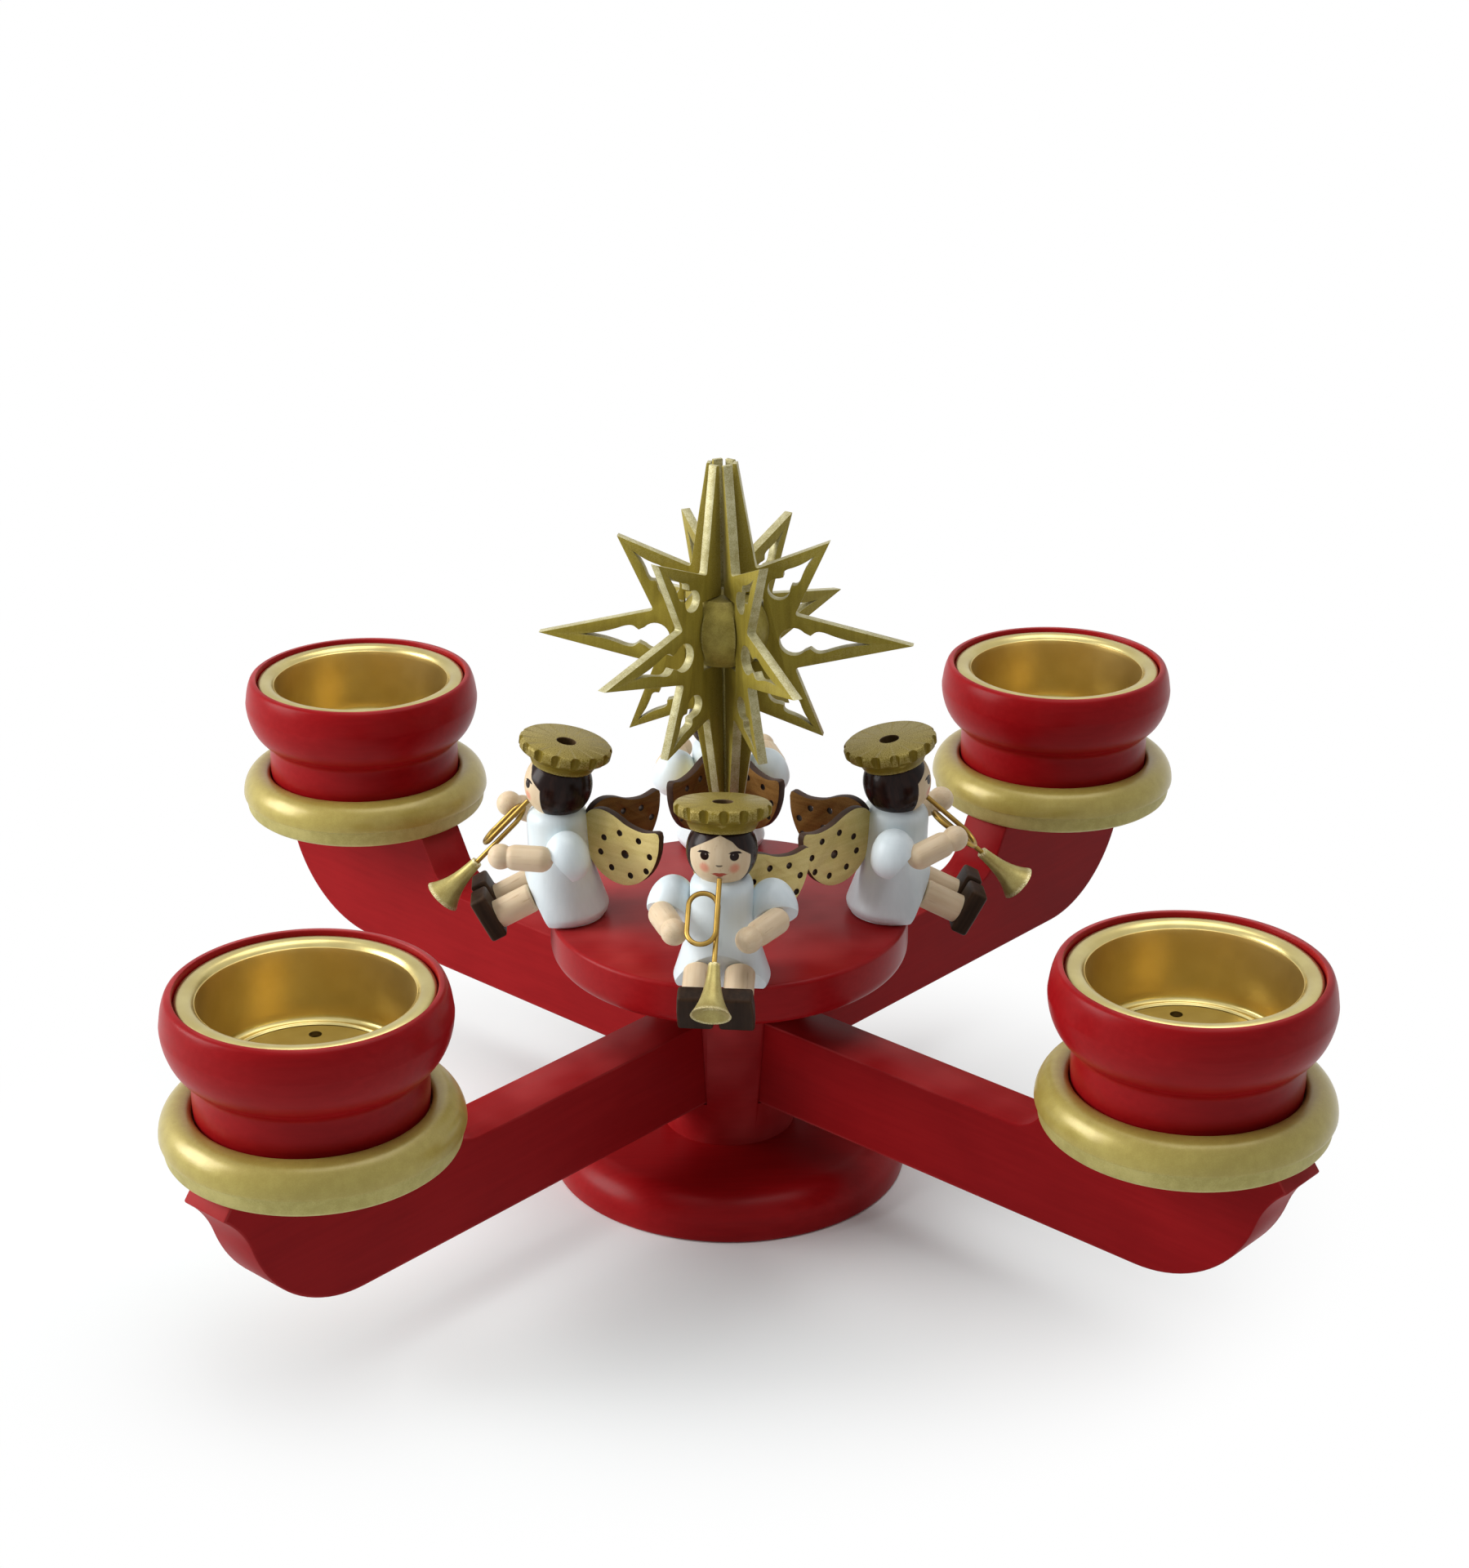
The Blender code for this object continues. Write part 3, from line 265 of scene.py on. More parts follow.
def break_edges(piece: Piece, width: float, angle: float, segments: int = 2) -> None:
    """Round a piece's sharp edges a little.

    Args:
        piece: The piece.
        width: The width of the rounding.
        angle: The sharpest angle in degrees that is left alone.
        segments: The steps of the rounding.
    """
    rounding = piece.modifiers.new("Edges", "BEVEL")
    rounding.width = width
    rounding.segments = segments
    rounding.limit_method = "ANGLE"
    rounding.angle_limit = radians(angle)
    pick(piece)
    bpy.ops.object.modifier_apply(modifier=rounding.name)


def box(name: str, size: Sequence[float], middle: Sequence[float]) -> Piece:
    """Add a block of a given size.

    Args:
        name: The block's name.
        size: Its three sides.
        middle: Its middle.

    Returns:
        The block.
    """
    clear_selection()
    bpy.ops.mesh.primitive_cube_add(size=1.0, location=middle, scale=size)
    block = bpy.context.object
    block.name = name
    bpy.ops.object.transform_apply(location=True, rotation=True, scale=True)
    return block


def carve(piece: Piece, cutter: Piece) -> None:
    """Cut one shape out of another, and take it away.

    Args:
        piece: The piece that stays.
        cutter: The shape that is used up.
    """
    step = piece.modifiers.new("Carve", "BOOLEAN")
    step.operation = "DIFFERENCE"
    step.solver = "EXACT"
    step.object = cutter
    pick(piece)
    bpy.ops.object.modifier_apply(modifier=step.name)
    bpy.data.objects.remove(cutter, do_unlink=True)


def slice_off(piece: Piece, place: Sequence[float], facing: Sequence[float]) -> None:
    """Saw a piece flat along a plane and close the cut.

    Args:
        piece: The piece.
        place: A point of the plane.
        facing: The direction in which everything is taken off.
    """
    pick(piece)
    bpy.ops.object.mode_set(mode="EDIT")
    bpy.ops.mesh.select_all(action="SELECT")
    bpy.ops.mesh.bisect(plane_co=place, plane_no=facing, use_fill=True, clear_outer=True, threshold=TINY)
    bpy.ops.object.mode_set(mode="OBJECT")


def put(piece: Piece, pose: Matrix) -> Piece:
    """Place a piece and leave its place in its mesh.

    Args:
        piece: The piece.
        pose: Where it goes.

    Returns:
        The same piece.
    """
    piece.matrix_world = pose
    pick(piece)
    bpy.ops.object.transform_apply(location=True, rotation=True, scale=True)
    return piece


def remember(piece: Piece) -> None:
    """Keep each point's place in the piece's own frame, for the patterns of its finish."""
    attribute = piece.data.attributes.new(OWN, "FLOAT_VECTOR", "POINT")
    attribute.data.foreach_set("vector", [value for vertex in piece.data.vertices for value in vertex.co])


def smooth(piece: Piece, angle: float = SLIGHT_BEND) -> None:
    """Shade a piece smooth up to a given angle in degrees."""
    pick(piece)
    bpy.ops.object.shade_smooth_by_angle(angle=radians(angle))


def finished(piece: Piece, *finishes: bpy.types.Material, angle: float = SLIGHT_BEND) -> Piece:
    """Shade and dress a piece, and keep its own frame for the patterns.

    Args:
        piece: The piece, still in its own frame.
        finishes: Its materials, one for each slot.
        angle: The largest angle that is shaded smooth, in degrees.

    Returns:
        The same piece.
    """
    smooth(piece, angle)
    remember(piece)
    piece.data.materials.clear()
    for finish in finishes:
        piece.data.materials.append(finish)
    return piece


def assign(piece: Piece, choose: Callable[[bpy.types.MeshPolygon], int]) -> None:
    """Give each face of a piece the material slot that a rule picks for it."""
    for face in piece.data.polygons:
        face.material_index = choose(face)


def again(piece: Piece, name: str, pose: Matrix) -> Piece:
    """Copy a modelled piece to another place, with a mesh of its own.

    Args:
        piece: The piece to copy.
        name: The copy's name.
        pose: Where the copy goes.

    Returns:
        The copy.
    """
    twin = piece.copy()
    twin.data = piece.data.copy()
    twin.name = name
    bpy.context.scene.collection.objects.link(twin)
    return put(twin, pose)


def discard(*pieces: Piece) -> None:
    """Take away the models that copies were made from."""
    for piece in pieces:
        bpy.data.objects.remove(piece, do_unlink=True)


def aimed(place: Sequence[float], direction: Sequence[float]) -> Matrix:
    """A pose that puts a piece's Z along a direction and keeps its Y inwards, or up if Z lies along Y.

    Args:
        place: Where the piece's own origin goes.
        direction: Where its Z points.

    Returns:
        The pose.
    """
    along = Vector(direction).normalized()
    guide = Vector((0.0, 1.0, 0.0)) if abs(along.y) < 0.8 else Vector((0.0, 0.0, 1.0))
    across = guide.cross(along).normalized()
    turn = Matrix((across, along.cross(across), along)).transposed().to_4x4()
    return Matrix.Translation(place) @ turn


def upright(direction: Sequence[float], place: Sequence[float] = (0.0, 0.0, 0.0)) -> Matrix:
    """A pose that stands a board up: its X along a level direction and its Y along +Z.

    Args:
        direction: The level direction.
        place: Where the board's own origin goes.

    Returns:
        The pose.
    """
    along = Vector(direction).normalized()
    up = Vector((0.0, 0.0, 1.0))
    turn = Matrix((along, up, along.cross(up))).transposed().to_4x4()
    return Matrix.Translation(place) @ turn


def hand_over(piece: Piece, body: str, node: str) -> None:
    """Give a finished piece to the frame.

    Args:
        piece: The piece, in its place.
        body: The body that it moves with.
        node: The node that it stands for.
    """
    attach(piece, body)
    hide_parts(node)
    LOG.info("%s: %d faces, moves with %s", piece.name, len(piece.data.polygons), body)


# Finishes


class Wiring:
    """A node tree, written as sums."""

    def __init__(self, tree: bpy.types.NodeTree) -> None:
        """Start on a tree."""
        self.tree = tree

    def feed(self, socket: bpy.types.NodeSocket, value: object) -> None:
        """Link a socket to an output, or set it to a number or a colour.

        Args:
            socket: The input.
            value: The output, number or colour.
        """
        if isinstance(value, bpy.types.NodeSocket):
            self.tree.links.new(value, socket)
        elif isinstance(value, tuple) and len(value) == 3 and socket.type == "RGBA":
            socket.default_value = (*value, 1.0)
        else:
            socket.default_value = value

    def sum(self, operation: str, first: object, second: object = 0.0) -> object:
        """One step of arithmetic.

        Args:
            operation: The operation's name.
            first: Its first input.
            second: Its second input.

        Returns:
            The result's socket.
        """
        node = self.tree.nodes.new("ShaderNodeMath")
        node.operation = operation
        self.feed(node.inputs[0], first)
        self.feed(node.inputs[1], second)
        return node.outputs[0]

    def weighed(self, *shares: tuple[object, float]) -> object:
        """The sum of some values, each times its weight.

        Args:
            shares: Pairs of a value and its weight.

        Returns:
            The sum's socket.
        """
        total = self.sum("MULTIPLY", *shares[0])
        for share in shares[1:]:
            total = self.sum("ADD", total, self.sum("MULTIPLY", *share))
        return total

    def reach(self, across: object, along: object) -> object:
        """The length of a step across and a step along."""
        return self.sum("SQRT", self.sum("ADD", self.sum("POWER", across, 2.0), self.sum("POWER", along, 2.0)))

    def ramp(self, value: object, low: float, high: float) -> object:
        """A value spread from 0 at low to 1 at high.

        Args:
            value: The value.
            low: Where the ramp starts.
            high: Where it ends.

        Returns:
            The ramp's socket.
        """
        node = self.tree.nodes.new("ShaderNodeMapRange")
        node.interpolation_type = "SMOOTHSTEP"
        self.feed(node.inputs["Value"], value)
        node.inputs["From Min"].default_value = low
        node.inputs["From Max"].default_value = high
        return node.outputs[0]

    def white_rays(self) -> object:
        """Whether a ray comes from the camera, or from a glossy or clear surface."""
        rays = self.tree.nodes.new("ShaderNodeLightPath").outputs
        mirrored = self.sum("MAXIMUM", rays["Is Glossy Ray"], rays["Is Transmission Ray"])
        return self.sum("MAXIMUM", rays["Is Camera Ray"], mirrored)


class Recipe(Wiring):
    """A material, written as sums of its patterns."""

    def __init__(self, name: str) -> None:
        """Start a material with its shader and the piece's own frame.

        Args:
            name: The material's name.
        """
        self.material = bpy.data.materials.new(name)
        self.material.use_nodes = True
        super().__init__(self.material.node_tree)
        self.shader = self.tree.nodes["Principled BSDF"]
        attribute = self.tree.nodes.new("ShaderNodeAttribute")
        attribute.attribute_name = OWN
        self.own = attribute.outputs["Vector"]

    def stretched(self, scales: Sequence[float], moved: Sequence[float] = (0.0, 0.0, 0.0)) -> object:
        """The piece's own frame, scaled and moved.

        Args:
            scales: The scale along each axis.
            moved: The shift along each axis.

        Returns:
            The place's socket.
        """
        node = self.tree.nodes.new("ShaderNodeMapping")
        self.feed(node.inputs["Vector"], self.own)
        node.inputs["Scale"].default_value = scales
        node.inputs["Location"].default_value = moved
        return node.outputs[0]

    def parts(self, place: object = None) -> Sequence[object]:
        """The three parts of a place, or else of the piece's own frame."""
        node = self.tree.nodes.new("ShaderNodeSeparateXYZ")
        self.feed(node.inputs[0], place or self.own)
        return tuple(node.outputs)

    def noise(self, scales: Sequence[float], detail: float = 2.0, rough: float = 0.5) -> object:
        """A cloudy pattern over the piece.

        Args:
            scales: How fine it is along each axis.
            detail: How many finer layers it has.
            rough: How strong the finer layers are.

        Returns:
            The pattern's socket.
        """
        node = self.tree.nodes.new("ShaderNodeTexNoise")
        self.feed(node.inputs["Vector"], self.stretched(scales))
        node.inputs["Scale"].default_value = 1.0
        node.inputs["Detail"].default_value = detail
        node.inputs["Roughness"].default_value = rough
        return node.outputs["Fac"]

    def blend(self, share: object, first: object, second: object) -> object:
        """A blend of two colours by a share.

        Args:
            share: The share of the second.
            first: The first colour.
            second: The second colour.

        Returns:
            The colour's socket.
        """
        node = self.tree.nodes.new("ShaderNodeMix")
        node.data_type = "RGBA"
        self.feed(node.inputs["Factor"], share)
        self.feed(node.inputs[6], first)
        self.feed(node.inputs[7], second)
        return node.outputs[2]

    def edges(self, low: float = 0.515, high: float = 0.56) -> object:
        """Where the surface bends outwards sharply."""
        node = self.tree.nodes.new("ShaderNodeNewGeometry")
        return self.ramp(node.outputs["Pointiness"], low, high)

    def relief(self, height: object, strength: float, distance: float = 0.0001) -> None:
        """Raise and sink the surface by a pattern.

        Args:
            height: The pattern.
            strength: The effect's strength.
            distance: The height in metres.
        """
        node = self.tree.nodes.new("ShaderNodeBump")
        node.inputs["Strength"].default_value = strength
        node.inputs["Distance"].default_value = distance
        self.feed(node.inputs["Height"], height)
        self.feed(self.shader.inputs["Normal"], node.outputs[0])

    def set(self, **values: object) -> None:
        """Set the shader's sockets by name, with _ for a blank."""
        for name, value in values.items():
            self.feed(self.shader.inputs[name.replace("_", " ")], value)


@dataclass(frozen=True)
class SatinPaint:
    """Satin lacquer over wood whose fibres still show a little."""

    name: str
    colour: Colour
    deep: Colour
    worn: Colour
    grain: Grain = Grain.ALONG_X
    roughness: float = 0.34
    sheen: float = 0.07
    relief: float = 0.22
    wear: float = 0.5
    clouded: float = 0.35

    def mix(self) -> bpy.types.Material:
        """Build the material.

        Returns:
            The paint.
        """
        recipe = Recipe(self.name)
        fibres = recipe.noise(self.grain.value, 4.0, 0.6)
        clouds = recipe.noise((55.0, 55.0, 55.0), 2.0)
        specks = recipe.noise((2600.0, 2600.0, 2600.0), 1.0)
        depth = recipe.weighed((fibres, 1.0 - self.clouded), (clouds, self.clouded))
        body = recipe.blend(recipe.ramp(depth, 0.36, 0.64), self.deep, self.colour)
        worn = recipe.sum("MULTIPLY", recipe.edges(), recipe.ramp(clouds, 0.3, 0.7))
        colour = recipe.blend(recipe.sum("MULTIPLY", worn, self.wear), body, self.worn)
        gloss = recipe.sum("ADD", self.roughness - 0.06, recipe.sum("MULTIPLY", depth, 0.12))
        gloss = recipe.sum("ADD", gloss, recipe.sum("MULTIPLY", specks, 0.05))
        skin = recipe.noise((700.0, 700.0, 700.0), 1.0)
        recipe.relief(recipe.weighed((fibres, 0.6), (skin, 0.4)), self.relief, 0.00006)
        recipe.set(Base_Color=colour, Roughness=gloss, Specular_IOR_Level=self.sheen)
        return recipe.material


@dataclass(frozen=True)
class GoldPaint:
    """Metallic paint: fine flakes, brushed or turned lines, and rubbed edges."""

    name: str
    colour: Colour
    deep: Colour
    rubbed: Colour
    grain: Grain = Grain.NONE
    metal: float = 0.7
    roughness: float = 0.4
    sheen: float = 0.2
    coat: float = 0.0
    lines: float = 0.0
    relief: float = 0.3
    wear: float = 1.0

    def mix(self) -> bpy.types.Material:
        """Build the material.

        Returns:
            The paint.
        """
        recipe = Recipe(self.name)
        flakes = recipe.noise((3600.0, 3600.0, 3600.0), 2.0, 0.7)
        brushed = recipe.noise(self.grain.value, 3.0, 0.6)
        clouds = recipe.noise((90.0, 90.0, 90.0), 2.0)
        depth = recipe.weighed((brushed, 0.4), (flakes, 0.3), (clouds, 0.3))
        body = recipe.blend(recipe.ramp(depth, 0.36, 0.64), self.deep, self.colour)
        rubbed = recipe.sum("MULTIPLY", recipe.edges(), recipe.ramp(flakes, 0.35, 0.6))
        colour = recipe.blend(recipe.sum("MULTIPLY", rubbed, self.wear), body, self.rubbed)
        gloss = recipe.sum("ADD", self.roughness - 0.08, recipe.sum("MULTIPLY", flakes, 0.16))
        height = recipe.weighed((flakes, 0.5), (brushed, 0.5))
        if self.lines:
            height = recipe.sum("ADD", height, recipe.noise((60.0, 60.0, self.lines), 1.0))
        recipe.relief(height, self.relief, 0.00005)
        recipe.set(Base_Color=colour, Roughness=gloss, Metallic=self.metal,
                   Specular_IOR_Level=self.sheen, Coat_Weight=self.coat, Coat_Roughness=0.26)
        return recipe.material


@dataclass(frozen=True)
class PressedSheet:
    """Bright brass-coloured sheet that was spun to shape, with lines round its axis."""

    name: str
    colour: Colour
    deep: Colour
    roughness: float = 0.24
    rings: float = 5200.0

    def mix(self) -> bpy.types.Material:
        """Build the material.

        Returns:
            The metal.
        """
        recipe = Recipe(self.name)
        across, along, up = recipe.parts()
        track = recipe.weighed((recipe.reach(across, along), self.rings), (up, self.rings))
        lines = recipe.tree.nodes.new("ShaderNodeTexNoise")
        lines.noise_dimensions = "1D"
        recipe.feed(lines.inputs["W"], track)
        lines.inputs["Scale"].default_value = 1.0
        clouds = recipe.noise((140.0, 140.0, 140.0), 3.0)
        dust = recipe.noise((4200.0, 4200.0, 4200.0), 1.0)
        colour = recipe.blend(recipe.ramp(clouds, 0.35, 0.7), self.deep, self.colour)
        gloss = recipe.sum("ADD", self.roughness - 0.03, recipe.sum("MULTIPLY", clouds, 0.06))
        gloss = recipe.sum("ADD", gloss, recipe.sum("MULTIPLY", dust, 0.06))
        recipe.relief(lines.outputs["Fac"], 0.12, 0.00002)
        recipe.set(Base_Color=colour, Roughness=gloss, Metallic=1.0)
        return recipe.material


@dataclass(frozen=True)
class PaleWood:
    """Clear-lacquered pale wood with fine fibres and pores."""

    name: str
    colour: Colour
    deep: Colour
    pore: Colour
    grain: Grain = Grain.ALONG_Z
    roughness: float = 0.42

    def body(self, recipe: Recipe) -> tuple[object, object]:
        """The wood's colour and its relief.

        Args:
            recipe: The material in the making.

        Returns:
            The sockets of the colour and of the height.
        """
        fibres = recipe.noise(self.grain.value, 4.0, 0.6)
        clouds = recipe.noise((160.0, 160.0, 160.0), 2.0)
        pores = recipe.noise([value * 3.2 for value in self.grain.value], 1.0)
        depth = recipe.weighed((fibres, 0.6), (clouds, 0.4))
        colour = recipe.blend(recipe.ramp(depth, 0.34, 0.66), self.deep, self.colour)
        colour = recipe.blend(recipe.sum("MULTIPLY", recipe.ramp(pores, 0.66, 0.78), 0.5), colour, self.pore)
        return colour, recipe.sum("ADD", fibres, recipe.sum("MULTIPLY", pores, -0.5))

    def mix(self) -> bpy.types.Material:
        """Build the material.

        Returns:
            The wood.
        """
        recipe = Recipe(self.name)
        colour, height = self.body(recipe)
        recipe.relief(height, 0.2, 0.00005)
        recipe.set(Base_Color=colour, Roughness=self.roughness, Specular_IOR_Level=0.25,
                   Subsurface_Weight=0.05, Subsurface_Scale=0.001)
        return recipe.material


@dataclass(frozen=True)
class Mark:
    """An oval brush mark: its middle, its half sizes, and the share of them over which it fades."""

    place: Spot
    size: Spot
    soft: float


@dataclass(frozen=True)
class Stroke:
    """A bent brush line: its middle, half its length, how far its ends drop, and half its width."""

    place: Spot
    half: float
    bend: float
    width: float


class HeadRecipe(Recipe):
    """A recipe on a head, by angles in degrees, round from its front and up from its equator."""

    def __init__(self, name: str) -> None:
        """Start the material and measure the angles.

        Args:
            name: The material's name.
        """
        super().__init__(name)
        across, along, upward = self.parts()
        self.round = self.degrees(across, self.sum("MULTIPLY", along, -1.0))
        self.up = self.degrees(upward, self.reach(across, along))
        self.aside = self.sum("ABSOLUTE", self.round)

    def degrees(self, rise: object, run: object) -> object:
        """The angle of a slope."""
        return self.sum("MULTIPLY", self.sum("ARCTAN2", rise, run), 180.0 / pi)

    def spot(self, around: object, mark: Mark) -> object:
        """The share of a mark, 1 inside, by an angle round the head.

        Args:
            around: The angle round the head.
            mark: The mark.

        Returns:
            The mark's share.
        """
        across = self.sum("DIVIDE", self.sum("SUBTRACT", around, mark.place[0]), mark.size[0])
        along = self.sum("DIVIDE", self.sum("SUBTRACT", self.up, mark.place[1]), mark.size[1])
        return self.ramp(self.reach(across, along), 1.0 + mark.soft, 1.0 - mark.soft)

    def stroke(self, around: object, line: Stroke) -> object:
        """The share of a bent line that thins out at its ends.

        Args:
            around: The angle round the head.
            line: The line.

        Returns:
            The line's share, 1 inside.
        """
        across = self.sum("DIVIDE", self.sum("SUBTRACT", around, line.place[0]), line.half)
        drop = self.sum("MULTIPLY", self.sum("POWER", across, 2.0), line.bend)
        along = self.sum("ABSOLUTE", self.sum("ADD", self.sum("SUBTRACT", self.up, line.place[1]), drop))
        out = self.sum("ABSOLUTE", across)
        thin = self.sum("MULTIPLY", self.ramp(out, 1.0, 0.5), line.width)
        inside = self.ramp(self.sum("SUBTRACT", along, thin), 0.35, -0.35)
        return self.sum("MULTIPLY", inside, self.ramp(out, 1.05, 0.95))


@dataclass(frozen=True)
class PaintedHead:
    """A doll's head of pale wood: brush-painted hair, eyes, nose, mouth and cheeks, and a painted highlight in each
    eye.
    """

    name: str
    skin: PaleWood
    hair: Colour = (0.014, 0.006, 0.005)
    strand: Colour = (0.028, 0.012, 0.009)
    eye: Colour = (0.016, 0.008, 0.006)
    # The colour of the painted highlight in each eye.
    shine: Colour = (0.6, 0.5, 0.45)
    lip: Colour = (0.42, 0.045, 0.03)
    blush: Colour = (0.72, 0.16, 0.10)
    parting: float = 34.5
    fringe: float = 0.50
    side: float = 56.5
    dip: float = 6.0
    dip_ramp: Spot = (20.0, 33.0)
    brush_edge: float = 0.7
    cheeks: Mark = Mark((26.5, -20.5), (8.6, 8.2), 0.55)
    upper_lip: Mark = Mark((5.2, -31.6), (7.6, 2.7), 0.2)
    lower_lip: Mark = Mark((0.0, -34.6), (7.4, 2.8), 0.2)
    mouth_line: Stroke = Stroke((0.0, -33.2), 18.0, -3.2, 1.2)
    nose: Stroke = Stroke((0.0, -15.8), 6.6, -1.4, 1.6)
    eyes: Mark = Mark((24.6, 0.3), (7.9, 7.3), 0.1)
    # The painted highlight in each eye: a faint pale spot of light.
    glint: Mark = Mark((22.4, 3.0), (1.3, 1.3), 0.3)
    lids: Stroke = Stroke((26.6, 6.8), 12.8, 2.2, 1.9)

    def hairline(self, recipe: HeadRecipe) -> object:
        """Where the hair is: a slanting fringe and a curtain at each side.

        Args:
            recipe: The material in the making.

        Returns:
            The hair's share, 1 inside.
        """
        edge = (-self.brush_edge, self.brush_edge)
        brow = recipe.sum("SUBTRACT", self.parting, recipe.sum("MULTIPLY", recipe.aside, self.fringe))
        dip = recipe.sum("MULTIPLY", recipe.ramp(recipe.round, *self.dip_ramp), self.dip)
        brow = recipe.sum("SUBTRACT", brow, dip)
        slant = recipe.sum("ADD", self.side, recipe.sum("MULTIPLY", recipe.up, -0.12))
        curtain = recipe.ramp(recipe.sum("SUBTRACT", recipe.aside, slant), *edge)
        return recipe.sum("MAXIMUM", recipe.ramp(recipe.sum("SUBTRACT", recipe.up, brow), *edge), curtain)

    def mix(self) -> bpy.types.Material:
        """Build the material.

        Returns:
            The painted wood.
        """
        recipe = HeadRecipe(self.name)
        colour, height = self.skin.body(recipe)
        cheeks = recipe.sum("MULTIPLY", recipe.spot(recipe.aside, self.cheeks), 0.62)
        colour = recipe.blend(cheeks, colour, self.blush)
        lips = recipe.sum("MAXIMUM", recipe.spot(recipe.aside, self.upper_lip),
                          recipe.spot(recipe.round, self.lower_lip))
        mouth = recipe.sum("MAXIMUM", lips, recipe.stroke(recipe.round, self.mouth_line))
        colour = recipe.blend(recipe.sum("MULTIPLY", mouth, 0.92), colour, self.lip)
        eyes = recipe.sum("MAXIMUM", recipe.spot(recipe.aside, self.eyes), recipe.stroke(recipe.aside, self.lids))
        nose = recipe.sum("MULTIPLY", recipe.stroke(recipe.round, self.nose), 0.75)
        dark = recipe.sum("MAXIMUM", eyes, nose)
        colour = recipe.blend(dark, colour, self.eye)
        # Painted highlight: a soft pale spot blended into each eye.
        glint = recipe.sum("MULTIPLY", recipe.spot(recipe.aside, self.glint), 0.25)
        colour = recipe.blend(glint, colour, self.shine)
        hair = self.hairline(recipe)
        strands = recipe.ramp(recipe.noise((700.0, 700.0, 90.0), 2.0), 0.4, 0.65)
        colour = recipe.blend(hair, colour, recipe.blend(strands, self.hair, self.strand))
        painted = recipe.sum("MAXIMUM", hair, dark)
        gloss = recipe.sum("SUBTRACT", self.skin.roughness, recipe.sum("MULTIPLY", painted, 0.2))
        recipe.relief(recipe.weighed((height, 0.5), (painted, 1.5)), 0.25, 0.00006)
        recipe.set(Base_Color=colour, Roughness=gloss, Specular_IOR_Level=0.12)
        return recipe.material


RED = SatinPaint("red_lacquer", (0.31, 0.006, 0.008), (0.27, 0.004, 0.006), (0.55, 0.07, 0.07),
                 roughness=0.30, sheen=0.09)
RED_BOARD = SatinPaint("red_lacquer_on_boards", (0.29, 0.007, 0.009), (0.25, 0.005, 0.007), (0.46, 0.06, 0.06),
                       roughness=0.42, sheen=0.05, clouded=0.45, relief=0.25)
WHITE = SatinPaint("white_lacquer", (0.79, 0.88, 0.92), (0.75, 0.84, 0.88), (0.86, 0.90, 0.92),
                   Grain.ALONG_Z, roughness=0.32, sheen=0.3, wear=0.4)
SHOE = SatinPaint("dark_brown_lacquer", (0.036, 0.021, 0.013), (0.020, 0.012, 0.008), (0.12, 0.06, 0.03),
                  Grain.ALONG_Y, roughness=0.42, relief=0.4)
GOLD = GoldPaint("gold_paint", (0.43, 0.345, 0.080), (0.36, 0.28, 0.058), (0.60, 0.53, 0.24),
                 metal=0.18, roughness=0.38, coat=0.5, lines=2200.0, wear=0.4)
BAND_GOLD = GoldPaint("gold_paint_on_rough_wood", (0.50, 0.43, 0.15), (0.37, 0.31, 0.09), (0.7, 0.62, 0.36),
                      metal=0.2, roughness=0.5, relief=1.0, wear=0.3)
CROWN_GOLD = GoldPaint("gold_paint_on_crowns", (0.225, 0.163, 0.018), (0.160, 0.112, 0.011), (0.50, 0.41, 0.15),
                       metal=0.15, roughness=0.40, sheen=0.10, relief=0.3, wear=0.6)
STAR_FACE = GoldPaint("gold_paint_brushed", (0.36, 0.285, 0.044), (0.27, 0.210, 0.030), (0.5, 0.42, 0.18),
                      Grain.ALONG_Y, metal=0.12, roughness=0.42, sheen=0.07, relief=0.4, wear=0.2)
STAR_EDGE = GoldPaint("gold_paint_on_sawn_edges", (0.58, 0.54, 0.30), (0.32, 0.27, 0.095), (0.7, 0.66, 0.45),
                      metal=0.15, roughness=0.38, relief=1.0, wear=0.3)
BALL_GOLD = GoldPaint("gold_paint_turned", (0.40, 0.33, 0.08), (0.24, 0.19, 0.04), (0.6, 0.53, 0.25),
                      metal=0.15, roughness=0.40, sheen=0.15, lines=2600.0, relief=0.4, wear=0.3)
BELL_GOLD = GoldPaint("gold_paint_on_bells", (0.46, 0.39, 0.14), (0.33, 0.26, 0.08), (0.72, 0.64, 0.36),
                      metal=0.35, roughness=0.36, lines=2400.0, relief=0.6)
SHEET = PressedSheet("brass_coloured_sheet", (0.53, 0.45, 0.195), (0.47, 0.385, 0.155), 0.28)
# The insert's wall: the same sheet in a deeper amber, as painted reflection and shade inside the insert.
SHEET_WITH_PAINTED_WALL_REFLECTION = PressedSheet("brass_coloured_wall", (0.61, 0.46, 0.17), (0.56, 0.415, 0.148), 0.33)
WIRE = PressedSheet("brass_wire", (0.36, 0.235, 0.06), (0.26, 0.16, 0.035), 0.34)
SKIN = PaleWood("pale_wood", (0.77, 0.62, 0.43), (0.70, 0.54, 0.35), (0.48, 0.30, 0.16))
